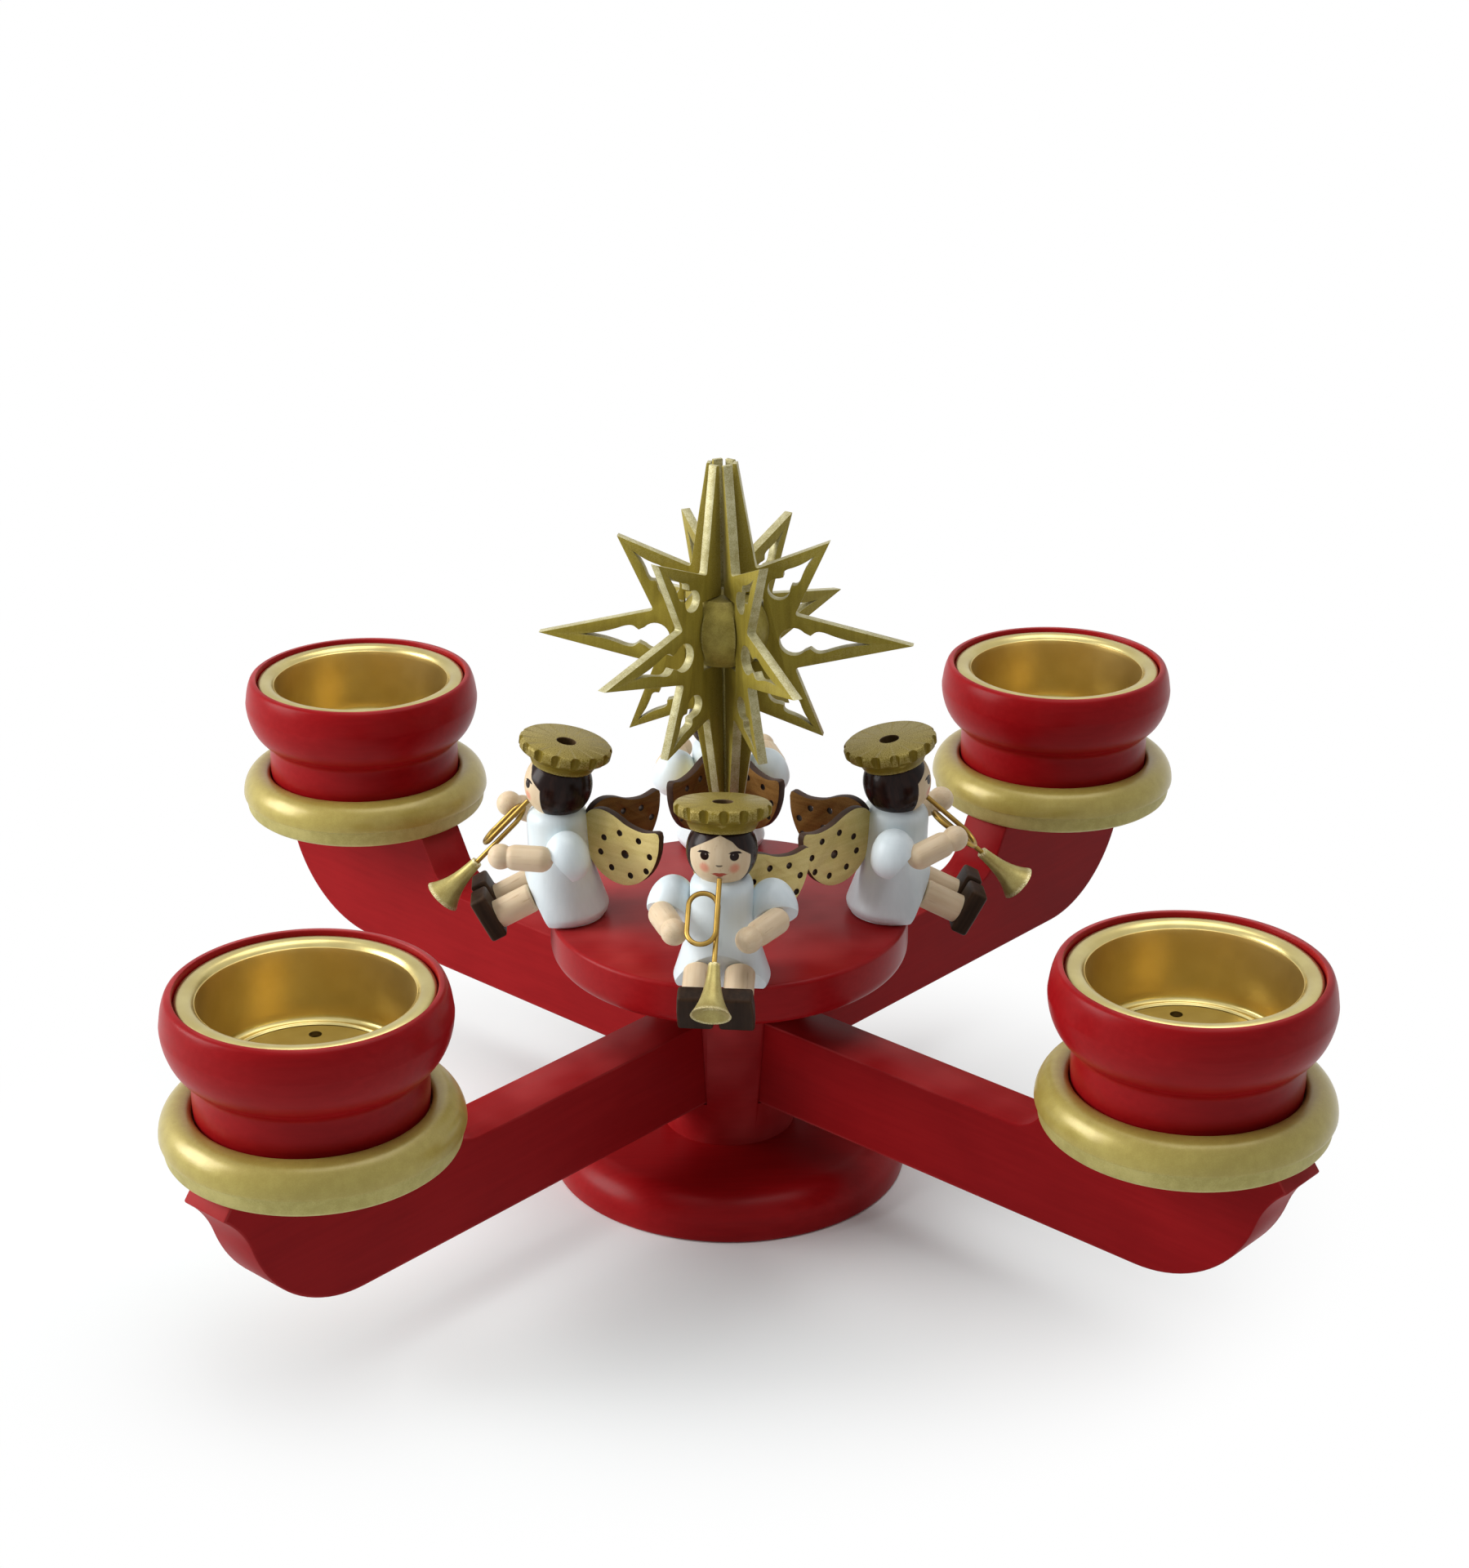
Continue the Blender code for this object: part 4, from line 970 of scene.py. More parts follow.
# Unpainted wood inside holes, made dark brown as painted shade in the holes.
SHADED_BARE_WOOD = PaleWood("bare_wood_inside", (0.12, 0.07, 0.027), (0.07, 0.04, 0.016), (0.03, 0.016, 0.01))
HEAD = PaintedHead("painted_head", SKIN)
WING_FRONT = GoldPaint("gold_paint_on_wings", (0.76, 0.63, 0.26), (0.63, 0.50, 0.17), (0.76, 0.66, 0.34),
                       Grain.ALONG_X, metal=0.1, roughness=0.42, sheen=0.15, relief=0.2, wear=0.2)
WING_REAR = GoldPaint("brown_stain_on_wings", (0.26, 0.135, 0.035), (0.15, 0.070, 0.016), (0.30, 0.17, 0.07),
                      Grain.ALONG_X, metal=0.1, roughness=0.5, sheen=0.1, relief=0.3, wear=0.2)
SCORCH = PaleWood("scorched_edge", (0.055, 0.024, 0.011), (0.028, 0.012, 0.006), (0.012, 0.006, 0.004),
                  Grain.ALONG_X, 0.6)


# Sub-assemblies


@dataclass
class Centre:
    """The foot, the post with a notch for each arm, and the platform."""

    foot_radius: float = 0.0401
    foot_thickness: float = 0.0100
    foot_round: float = 0.0070
    foot_break: float = 0.0008
    post_foot: float = 0.0148
    post_head: float = 0.0178
    post_top: float = 0.0514
    notch_start: float = 0.0107
    notch_width: float = 0.0123
    notch_top: float = 0.0413
    notch_low: float = 0.0202
    platform_radius: float = 0.0397
    platform_low: float = 0.0517
    platform_top: float = 0.0617
    top_round: float = 0.0009
    low_round: float = 0.0034
    stem_hole: float = 0.0023

    def build(self) -> None:
        """Turn the three pieces and cut the post's notches."""
        red = RED.mix()
        inner = self.foot_radius - self.foot_round
        section = [(0.0, self.foot_thickness)]
        section += arc((inner, self.foot_thickness - self.foot_round), (self.foot_round,) * 2, 90.0, 0.0, 16)
        section += arc((self.foot_radius - self.foot_break, self.foot_break), (self.foot_break,) * 2, 0.0, -90.0, 4)
        foot = turned("foot_turned", section + [(0.0, 0.0)], FINE_ROUND)
        hand_over(finished(foot, red), "holder", "base_disc")
        post = turned("post_turned", [(0.0, self.post_top), (self.post_head, self.post_top),
                                      (self.post_foot, self.foot_thickness), (0.0, self.foot_thickness)])
        height = self.notch_top - self.notch_low
        length = 2 * self.post_head
        for corner in Corner:
            notch = box("notch", (length, height, self.notch_width), (self.notch_start + length / 2, 0.0, 0.0))
            middle = (0.0, 0.0, self.notch_low + height / 2)
            carve(post, put(notch, upright(corner.direction, middle)))
        hand_over(finished(post, red), "holder", "centre_post")
        rim = self.platform_radius
        section = [(self.stem_hole, self.platform_top)]
        section += arc((rim - self.top_round, self.platform_top - self.top_round), (self.top_round,) * 2,
                       90.0, 0.0, 5)
        section += arc((rim - self.low_round, self.platform_low + self.low_round), (self.low_round,) * 2,
                       0.0, -90.0, 9)
        section.append((self.stem_hole, self.platform_low))
        platform = turned("platform_turned", section, FINE_ROUND, closed=True)
        hand_over(finished(platform, red), "holder", "platform")


@dataclass
class Arm:
    """One sawn arm: a straight bar, a raised block for the cup and a pointed lip."""

    foot: float = 0.0205
    thickness: float = 0.0120
    depth: float = 0.0205
    inner_end: float = 0.0110
    block_height: float = 0.0322
    block_start: float = 0.0943
    rise_radius: float = 0.0090
    rise_angle: float = 62.0
    belly_place: float = 0.1152
    belly_radius: float = 0.0285
    belly_sweep: float = 72.3
    tip_radius: float = 0.0200
    tip_sweep: float = 33.0
    lip: float = 0.0023
    edge: float = 0.0004
    cup_distance: float = 0.1209
    peg_hole: float = 0.0033
    peg_low: float = 0.0457

    def outline(self) -> list[Spot]:
        """The sawn outline.

        Returns:
            Distance along the arm and height over its underside.
        """
        belly_end = self.belly_sweep - 90.0
        belly = arc((self.belly_place, self.belly_radius), (self.belly_radius,) * 2, -90.0, belly_end, 20)
        turn = radians(belly_end)
        tip_middle = (belly[-1][0] + self.tip_radius * cos(turn), belly[-1][1] + self.tip_radius * sin(turn))
        start = 180.0 + belly_end
        tip = arc(tip_middle, (self.tip_radius,) * 2, start, start - self.tip_sweep, 12)
        rise_turn = radians(self.rise_angle)
        rise_height = self.rise_radius * (1 - cos(rise_turn))
        slope = (self.block_height - self.depth - rise_height) / tan(rise_turn)
        rise_start = self.block_start - slope - self.rise_radius * sin(rise_turn)
        rise = arc((rise_start, self.depth + self.rise_radius), (self.rise_radius,) * 2,
                   self.rise_angle - 90.0, -90.0, 12)
        top = [(tip[-1][0] - self.lip, self.block_height), (self.block_start, self.block_height)]
        return belly + tip[1:] + top + rise + [(self.inner_end, self.depth), (self.inner_end, 0.0)]

    def build(self) -> None:
        """Saw one arm and copy it to the four corners."""
        model = sawn("arm_model", [self.outline()], self.thickness)
        hole = turned("peg_hole", [(0.0, self.foot + self.block_height + FIT),
                                   (self.peg_hole, self.foot + self.block_height + FIT),
                                   (self.peg_hole, self.peg_low), (0.0, self.peg_low)], 32)
        to_board = upright((1.0, 0.0, 0.0), (0.0, 0.0, self.foot)).inverted()
        carve(model, put(hole, to_board @ Matrix.Translation((self.cup_distance, 0.0, 0.0))))
        break_edges(model, self.edge, 60.0)
        frame_flats(model, self.edge)
        finished(model, RED_BOARD.mix())
        for corner in Corner:
            arm = again(model, f"arm_{corner.title}_sawn", upright(corner.direction, (0.0, 0.0, self.foot)))
            hand_over(arm, "holder", f"arm_{corner.title}")
        discard(model)


@dataclass
class CupSet:
    """A drip dish, a cup that plugs into it, and the pressed metal insert."""

    distance: float = 0.1209
    dish_low: float = 0.0530
    dish_top: float = 0.0633
    dish_floor: float = 0.0577
    crease: float = 0.0573
    recess: float = 0.0232
    land: float = 0.0022
    edge_width: float = 0.0044
    ring_low: float = 0.0575
    inner_slope: Profile = ((0.0, -0.0009), (0.0003, -0.0005), (0.0008, -0.0002), (0.0014, -0.00005))
    band_top: Profile = ((-0.00005, 0.0), (-0.0004, -0.0002))
    band_low: Profile = ((-0.0009, 0.0012), (-0.0012, 0.0007), (-0.0018, 0.0002), (-0.0022, 0.0))
    peg_hole: float = 0.0033
    peg: float = 0.0030
    peg_low: float = 0.0460
    cup_low: float = 0.0580
    cup_rim: float = 0.0868
    neck: float = 0.0225
    neck_height: float = 0.0711
    belly: float = 0.02815
    belly_height: float = 0.0809
    bowl_power: float = 1.85
    foot_profile: Profile = ((0.0012, 0.0002), (0.0006, -0.0007), (0.0004, -0.0018), (0.0004, -0.0032),
                             (0.00045, -0.0050))
    rim_bore: float = 0.0253
    bore: float = 0.0219
    floor_bore: float = 0.0213
    ledge: float = 0.0843
    bore_floor: float = 0.0686
    insert_top: float = 0.0863
    insert_floor: float = 0.0695
    flange: float = 0.0250
    mouth: float = 0.0209
    wall_foot: float = 0.0203
    sheet: float = 0.0005
    bead: float = 0.0172
    bead_profile: Profile = ((-0.0012, 0.0006), (-0.0005, 0.0008), (0.0, 0.0012), (0.0005, 0.0008),
                             (0.0010, 0.0001))
    heel_profile: Profile = ((-0.0010, 0.0), (-0.0004, 0.0003), (0.0, 0.0011), (0.0002, 0.0040))
    mouth_profile: Profile = ((0.0, -0.0024), (0.0003, -0.0012), (0.0011, -0.0003), (0.0022, 0.0))
    flange_profile: Profile = ((-0.0010, -0.0001), (-0.0002, -0.0005), (0.0, -0.0009))
    hem_profile: Profile = ((-0.0001, -0.0014), (-0.0004, -0.0017), (-0.0008, -0.0014), (-0.0010, -0.0010))
    drain_place: Spot = (0.0, 0.0130)
    drain_radius: float = 0.0013
    drain_reach: float = 0.002
    wall_from: float = 0.0011
    wall_to: float = 0.0012

    def dish_section(self) -> list[Spot]:
        """The dish as a loop: a half-round ring and a rough band, with a recess for the cup.

        Returns:
            The section.
        """
        crest = self.recess + self.land
        outer = crest + self.edge_width
        ring = shifted((self.recess, self.dish_top), self.inner_slope)
        ring += arc((crest, self.ring_low), (self.edge_width, self.dish_top - self.ring_low), 90.0, 0.0, 20)
        band = shifted((outer, self.crease), self.band_top) + shifted((outer, self.dish_low), self.band_low)
        inside = [(self.peg_hole, self.dish_floor), (self.recess, self.dish_floor)]
        return inside + ring + band + [(self.peg_hole, self.dish_low)]

    def bowl(self) -> list[Spot]:
        """The cup's rim and its round belly down to the neck.

        Returns:
            The outer side, top to bottom.
        """
        rim = flowing([(self.rim_bore + 0.0010, self.cup_rim), (self.belly - 0.0012, self.cup_rim - 0.0006),
                       (self.belly - 0.0005, self.cup_rim - 0.0027), (self.belly, self.belly_height)], 4)
        turns = [radians(3.0 * index) for index in range(1, 23)]
        share = 2 / self.bowl_power
        return rim + [(self.neck + (self.belly - self.neck) * abs(cos(turn)) ** share,
                       self.belly_height - (self.belly_height - self.neck_height) * sin(turn) ** share)
                      for turn in turns]

    def cup_section(self) -> list[Spot]:
        """The cup from the floor of its bore, over the rim, down the bowl and neck to the peg.

        Returns:
            The section.
        """
        inside = [(0.0, self.bore_floor), (self.floor_bore, self.bore_floor), (self.bore, self.ledge),
                  (self.rim_bore, self.ledge), (self.rim_bore, self.cup_rim - 0.0003),
                  (self.rim_bore + 0.0002, self.cup_rim)]
        neck = self.neck
        foot = flowing(shifted((neck, self.neck_height), self.foot_profile)
                       + [(neck + 0.0004, self.dish_top), (neck + 0.0001, self.cup_low + 0.0020),
                          (neck - 0.0001, self.cup_low + 0.0003)], 4)
        return inside + self.bowl() + foot + [(neck - 0.0004, self.cup_low), (self.peg, self.cup_low),
                                              (self.peg, self.peg_low + 0.0004),
                                              (self.peg - 0.0004, self.peg_low), (0.0, self.peg_low)]

    def insert_section(self) -> list[Spot]:
        """The insert from the middle of its floor: a bead, a wall and a rolled flange.

        Returns:
            The section.
        """
        low, top, foot = self.insert_floor, self.insert_top, self.wall_foot
        floor = [(0.0, low + 0.0005), (0.0070, low + 0.0005)] + shifted((self.bead, low), self.bead_profile)
        wall = shifted((foot, low), self.heel_profile) + shifted((self.mouth, top), self.mouth_profile)
        over = flowing(floor + wall + shifted((self.flange, top), self.flange_profile), 4)
        under = [(self.mouth + 0.0011, top - 0.0010), (self.mouth + self.sheet, top - 0.0024),
                 (foot + 0.0002 + self.sheet, low + 0.0040), (foot + self.sheet, low + 0.0006),
                 (foot - 0.0008, low - self.sheet), (0.0, low - self.sheet)]
        return over + shifted((self.flange, top), self.hem_profile) + under

    def build(self) -> None:
        """Turn one set and copy it to the four arms."""
        dish = turned("dish_model", self.dish_section(), FINE_ROUND, closed=True)
        finished(dish, GOLD.mix(), BAND_GOLD.mix(), angle=STRONG_BEND)
        assign(dish, lambda face: int(Vector(face.center[:2]).length > self.recess
                                      and face.center.z < self.crease))
        cup = turned("cup_model", self.cup_section(), FINE_ROUND)
        finished(cup, RED.mix(), SHADED_BARE_WOOD.mix(), angle=STRONG_BEND)
        # The bore floor is seen only through the insert's drain. It gets the dark wood as painted shade down the
        # drain.
        assign(cup, lambda face: int(face.normal.z > FLAT and abs(face.center.z - self.bore_floor) < TINY))
        insert = turned("insert_model", self.insert_section(), FINE_ROUND)
        above, below = self.insert_floor + self.drain_reach, self.insert_floor - self.drain_reach
        drain = turned("drain", [(0.0, above), (self.drain_radius, above), (self.drain_radius, below),
                                 (0.0, below)], 20)
        carve(insert, put(drain, Matrix.Translation((*self.drain_place, 0.0))))
        # The wall band between the floor and the flange gets the deeper amber, as painted reflection and shade
        # inside the insert.
        finished(insert, SHEET.mix(), SHEET_WITH_PAINTED_WALL_REFLECTION.mix(), angle=STRONG_BEND)
        assign(insert, lambda face: int(self.insert_floor + self.wall_from < face.center.z
                                        < self.insert_top - self.wall_to))
        for corner in Corner:
            place, title = Matrix.Translation(corner.direction * self.distance), corner.title
            for model, name, body, slot, node in (
                    (dish, f"dish_{title}_turned", "holder", "gold_paint", f"drip_dish_{title}"),
                    (cup, f"cup_{title}_turned", f"cup_{title}", "red_paint", f"tealight_cup_{title}"),
                    (insert, f"insert_{title}_pressed", f"insert_{title}", "insert_metal",
                     f"tealight_insert_{title}")):
                hand_over(again(model, name, place), body, node)
        discard(dish, cup, insert)


@dataclass
class Star:
    """Six fretwork half-stars round a turned ball, on a stem that leans a little to the left."""

    panels: int = 6
    seat: float = 0.0567
    lean: float = 0.9
    middle: float = 0.1254
    turn: float = -11.6
    thickness: float = 0.0021
    edge: float = 0.00012
    inner: float = 0.0023
    top: float = 0.0389
    bottom: float = -0.0399
    tip_width: float = 0.0009
    side_point: Spot = (0.0405, 0.0)
    upper_slant: Spot = (0.0227, 0.0224)
    lower_slant: Spot = (0.0212, -0.0213)
    side_valley: Spot = (0.0152, 0.0060)
    upper_valley: Spot = (0.0070, 0.0160)
    valley_round: float = 0.0008
    long_drop: tuple[float, ...] = (0.0149, 0.0031, 0.0132, 0.0023)
    short_drop: tuple[float, ...] = (0.0166, 0.0024, 0.0082, 0.0019)
    wave: Profile = ((0.10, 0.62), (0.20, 1.02), (0.32, 0.98), (0.48, 0.66), (0.66, 0.36), (0.84, 0.16))
    wave_end: float = 1.06
    lobe_opening: float = 42.0
    ball_radius: float = 0.0098
    ball_half: float = 0.0073
    ball_lift: float = 0.0029
    notch_reach: float = 0.0085
    stem_radius: float = 0.0020
    stem_foot: float = 0.0517
    stem_chamfer: float = 0.0003
    stem_in_ball: float = 0.0040

    def rounded(self, before: Spot, corner: Spot, after: Spot) -> list[Spot]:
        """A valley's corner as a short round.

        Args:
            before: The point before the corner.
            corner: The corner.
            after: The point after it.

        Returns:
            The points of the round.
        """
        here = Vector(corner)
        first = here + (Vector(before) - here).normalized() * self.valley_round
        last = here + (Vector(after) - here).normalized() * self.valley_round
        shares = [index / 4 for index in range(5)]
        return [tuple((1 - t) ** 2 * first + 2 * t * (1 - t) * here + t ** 2 * last) for t in shares]

    def outline(self) -> list[Spot]:
        """Half a star, with a notch for the ball.

        Returns:
            Reach and height of each point.
        """
        tip = self.inner + self.tip_width
        valleys = [self.upper_valley, self.side_valley]
        valleys += [(reach, -height) for reach, height in reversed(valleys)]
        tips = [(tip, self.top), self.upper_slant, self.side_point, self.lower_slant, (tip, self.bottom)]
        points = [(self.inner, self.top), tips[0]]
        for before, valley, after in zip(tips, valleys, tips[1:]):
            points += self.rounded(before, valley, after) + [after]
        points.append((self.inner, self.bottom))
        low = self.ball_lift - self.ball_half - FIT
        high = self.ball_lift + self.ball_half + FIT
        return points + [(self.inner, low), (self.notch_reach, low), (self.notch_reach, high), (self.inner, high)]

    def drop(self, lobe_reach: float, lobe_radius: float, length: float, half: float, angle: float) -> list[Spot]:
        """A fretwork hole along a point: a round lobe, two cusps and a long waved drop.

        Args:
            lobe_reach: The lobe's distance from the middle.
            lobe_radius: The lobe's radius.
            length: The drop's length.
            half: The drop's half width.
            angle: The direction of the hole in radians.

        Returns:
            The hole's outline.
        """
        opening = self.lobe_opening
        lobe = arc((lobe_reach, 0.0), (lobe_radius,) * 2, opening, 360.0 - opening, 20)
        cusp = lobe_reach + lobe_radius * cos(radians(opening))
        side = [(cusp + share * length, half * width) for share, width in self.wave]
        tip = cusp + length * self.wave_end
        below = flowing([(x, -y) for x, y in side], 3)
        above = flowing(list(reversed(side)), 3)
        points = lobe + below + [(tip, 0.0)] + above
        return [(x * cos(angle) - y * sin(angle), x * sin(angle) + y * cos(angle)) for x, y in points]

    def stand(self, index: int) -> Matrix:
        """The upright pose of one panel about the ball's middle."""
        turn = 2 * pi * (index + 0.5) / self.panels
        return upright((sin(turn), -cos(turn), 0.0))

    def build(self) -> None:
        """Saw the panels, and turn the ball and the stem."""
        loops = [self.outline(), self.drop(*self.long_drop, 0.0)]
        for reach, height in (self.upper_slant, self.lower_slant):
            loops.append(self.drop(*self.short_drop, atan2(height, reach)))
        model = sawn("panel_model", loops, self.thickness)
        break_edges(model, self.edge, 60.0)
        finished(model, STAR_FACE.mix(), STAR_EDGE.mix(), angle=35.0)
        assign(model, lambda face: int(abs(face.normal.z) <= FLAT))
        leaning = Matrix.Translation((0.0, 0.0, self.seat)) @ Matrix.Rotation(-radians(self.lean), 4, "Y")
        place = leaning @ Matrix.Translation((0.0, 0.0, self.middle - self.seat))
        place = place @ Matrix.Rotation(radians(self.turn), 4, "Z")
        for index in range(self.panels):
            name = f"star_panel_{index + 1}"
            hand_over(again(model, f"{name}_sawn", place @ self.stand(index)), "star", name)
        discard(model)
        flat = asin(self.ball_half / self.ball_radius) * 180.0 / pi
        low = self.ball_lift - self.ball_half
        stem_top = low + self.stem_in_ball
        bore = self.stem_radius + FIT
        section = [(0.0, self.ball_lift + self.ball_half)]
        section += arc((0.0, self.ball_lift), (self.ball_radius,) * 2, flat, -flat, 40)
        section += [(bore, low), (bore, stem_top), (0.0, stem_top)]
        ball = turned("star_ball_turned", section)
        for index in range(self.panels):
            slot = box("slot", (self.ball_radius, 4 * self.ball_half, self.thickness + 2 * FIT),
                       (self.notch_reach - FIT + self.ball_radius / 2, 0.0, 0.0))
            carve(ball, put(slot, self.stand(index)))
        finished(ball, BALL_GOLD.mix(), angle=STRONG_BEND)
        hand_over(put(ball, place), "star", "star_ball")
        high = stem_top - FIT
        foot = self.stem_foot - self.middle
        radius, chamfer = self.stem_radius, self.stem_chamfer
        stem = turned("star_stem_turned", [(0.0, high), (radius - chamfer, high), (radius, high - chamfer),
                                           (radius, foot + chamfer), (radius - chamfer, foot), (0.0, foot)], 48)
        hand_over(put(finished(stem, BALL_GOLD.mix()), place), "stem", "star_stem")


@dataclass(frozen=True)
class Seat:
    """How one angel was set by hand: angles in degrees, and shifts in metres."""

    name: str
    side: float
    place_turn: float = 0.0
    body_turn: float = 0.0
    wings_turn: float = 0.0
    shift: float = 0.0
    right_inward: float = 22.0
    right_upward: float = 8.0
    left_inward: float = 22.0
    left_upward: float = 8.0
    left_ahead: float = 0.0
    left_raise: float = 0.0
    trumpet_drop: float = 46.5

    def pose(self, reach: float, height: float) -> Matrix:
        """The angel's own frame: X to its left, Y inwards and Z up, from the middle of its hem.

        Args:
            reach: The hem's distance from the holder's axis.
            height: The height of the seat.

        Returns:
            The frame.
        """
        turn = radians(self.side + self.place_turn)
        distance = reach + self.shift
        place = Matrix.Translation((distance * sin(turn), -distance * cos(turn), height))
        return place @ Matrix.Rotation(radians(self.side + self.body_turn), 4, "Z")

    def forearms(self) -> Iterator[tuple[Hand, float, float, Spot]]:
        """Each forearm's side, its turn inwards, its rise, and its shift ahead and up."""
        yield Hand.RIGHT, self.right_inward, self.right_upward, (0.0, 0.0)
        yield Hand.LEFT, self.left_inward, self.left_upward, (self.left_ahead, self.left_raise)


def at(side: float, out: float, up: float) -> Vector:
    """A point of an angel: to its left, outwards from the middle of the hem, and up from the seat."""
    return Vector((side, -out, up))


@dataclass
class Angels:
    """Four seated angels with trumpets, modelled once and set one by one."""

    reach: float = 0.0368
    height: float = 0.0617
    lean: float = 2.5
    lap_angle: float = 28.0
    lap_start: float = 0.0029
    waist: float = 0.0066
    dress_height: float = 0.0255
    hem: float = 0.0102
    shoulder: float = 0.0031
    head_radius: float = 0.00745
    head_height: float = 0.0308
    head_back: float = 0.0009
    head_tilt: float = 11.0
    crown_start: float = 0.0045
    crown_height: float = 0.0055
    crown_rim: float = 0.0102
    crown_band: float = 0.0072
    crown_hole: float = 0.0021
    notches: int = 15
    flute_radius: float = 0.0012
    sleeve_side: float = 0.01055
    sleeve_back: float = 0.0018
    sleeve_height: float = 0.0180
    elbow: Place = (0.0132, 0.0018, 0.0172)
    forearm_length: float = 0.0144
    forearm_radius: float = 0.0028
    leg_radius: float = 0.0032
    leg_length: float = 0.0087
    leg_side: float = 0.0043
    leg_height: float = 0.0060
    leg_round: float = 0.0008
    leg_overlap: float = 0.0004
    shoe: Place = (0.0074, 0.0104, 0.0038)
    shoe_below: float = 0.0040
    wing_length: float = 0.0205
    wing_depth: float = 0.0165
    wing_thickness: float = 0.0018
    wing_holes: Spot = (0.00098, 0.00072)
    wing_spread: float = 38.0
    wing_seat: float = 0.0176
    wing_sunk: float = 0.0005
    mouth_angle: float = 30.0
    pipe_radius: float = 0.00055
    pipe_length: float = 0.0186
    coil_width: float = 0.0060
    coil_length: float = 0.0118
    coil_start: float = 0.0030
    coil_gap: float = 0.0004
    bell_length: float = 0.0114
    bell_throat: float = 0.0012
    bell_mouth: float = 0.0042
    seats: tuple[Seat, ...] = field(default_factory=lambda: (
        Seat("front", 0.0, -5.5, -7.5, -12.0, right_upward=0.0, left_inward=36.0, left_upward=-7.0,
             left_ahead=0.0010, trumpet_drop=40.0),
        Seat("right", 90.0, -3.5, shift=-0.0008, right_inward=17.0, right_upward=20.0, left_upward=26.0,
             trumpet_drop=42.5),
        Seat("back", 180.0, right_inward=14.0),
        Seat("left", -90.0, right_upward=26.0, left_inward=12.0, left_upward=0.0, left_raise=0.0012)))

    def axis(self) -> Vector:
        """The direction of the dress's axis, which leans outwards a little."""
        return at(0.0, sin(radians(self.lean)), cos(radians(self.lean)))

    def head_middle(self) -> Vector:
        """The middle of the head."""
        return self.axis() * self.head_height - at(0.0, self.head_back, 0.0)

    def lap(self) -> Vector:
        """The direction in which the legs stand out of the lap."""
        return at(0.0, cos(radians(self.lap_angle)), -sin(radians(self.lap_angle)))

    def make_dress(self) -> Piece:
        """Turn the dress and saw it flat at the seat and at the lap.

        Returns:
            The dress in the angel's frame.
        """
        rounding = self.shoulder
        shoulder = arc((self.waist - rounding, self.dress_height - rounding), (rounding,) * 2, 90.0, 0.0, 9)
        hem = self.hem
        skirt = flowing([(self.waist, 0.0224), (self.waist + 0.00005, 0.0180), (self.waist + 0.0003, 0.0145),
                         (0.0077, 0.0106), (0.0089, 0.0064), (hem - 0.0004, 0.0034), (hem, 0.0020),
                         (hem - 0.0001, 0.0012), (hem - 0.0004, 0.0005), (hem - 0.0009, 0.0),
                         (hem - 0.0010, -0.0008)], 4)
        section = [(0.0, self.dress_height)] + shoulder + skirt[1:] + [(0.0, -0.0008)]
        dress = put(turned("dress_model", section), aimed(at(0.0, 0.0, FIT), self.axis()))
        slice_off(dress, (0.0, 0.0, FIT), (0.0, 0.0, -1.0))
        slice_off(dress, at(0.0, self.lap_start, 0.0), self.lap())
        break_edges(dress, 0.0003, 35.0)
        return dress

    def make_sleeve(self, hand: Hand) -> Piece:
        """Turn a drop-shaped sleeve and saw it slanting where the forearm is glued on.

        Args:
            hand: The side of the angel.

        Returns:
            The sleeve in the angel's frame.
        """
        section = flowing([(0.0, 0.0056), (0.0016, 0.0053), (0.0032, 0.0042), (0.0045, 0.0021),
                           (0.0051, -0.0005), (0.0049, -0.0026), (0.0038, -0.0043), (0.0019, -0.0053),
                           (0.0, -0.0055)], 5)
        sleeve = turned(f"sleeve_model_{hand.title}", [(max(r, 0.0), z) for r, z in section], 64)
        middle = self.axis() * self.sleeve_height + at(hand.value * self.sleeve_side, -self.sleeve_back, 0.0)
        put(sleeve, aimed(middle, at(hand.value * -0.16, -0.05, 1.0)))
        slice_off(sleeve, middle + at(0.0, 0.0021, -0.0020), at(hand.value * 0.25, 0.74, -0.62))
        break_edges(sleeve, 0.0008, 25.0, 4)
        return sleeve

    def make_forearm(self) -> Piece:
        """Turn a forearm with a round elbow, a groove at the wrist and a round hand.

        Returns:
            The forearm along Z.
        """
        radius = self.forearm_radius
        hand_z = self.forearm_length - radius
        hand = arc((0.0, hand_z), (radius, radius), 90.0, -28.0, 14)
        wrist = flowing([hand[-1], (0.00232, hand_z - 0.0017), (0.0025, hand_z - 0.0021),
                         (0.00275, hand_z - 0.0029), (radius, hand_z - 0.0045), (radius + 0.00005, radius)], 4)
        elbow = arc((0.0, radius), (radius + 0.00005, radius), 0.0, -90.0, 10)
        return turned("forearm_model", hand[:-1] + wrist[:-1] + elbow, 48)

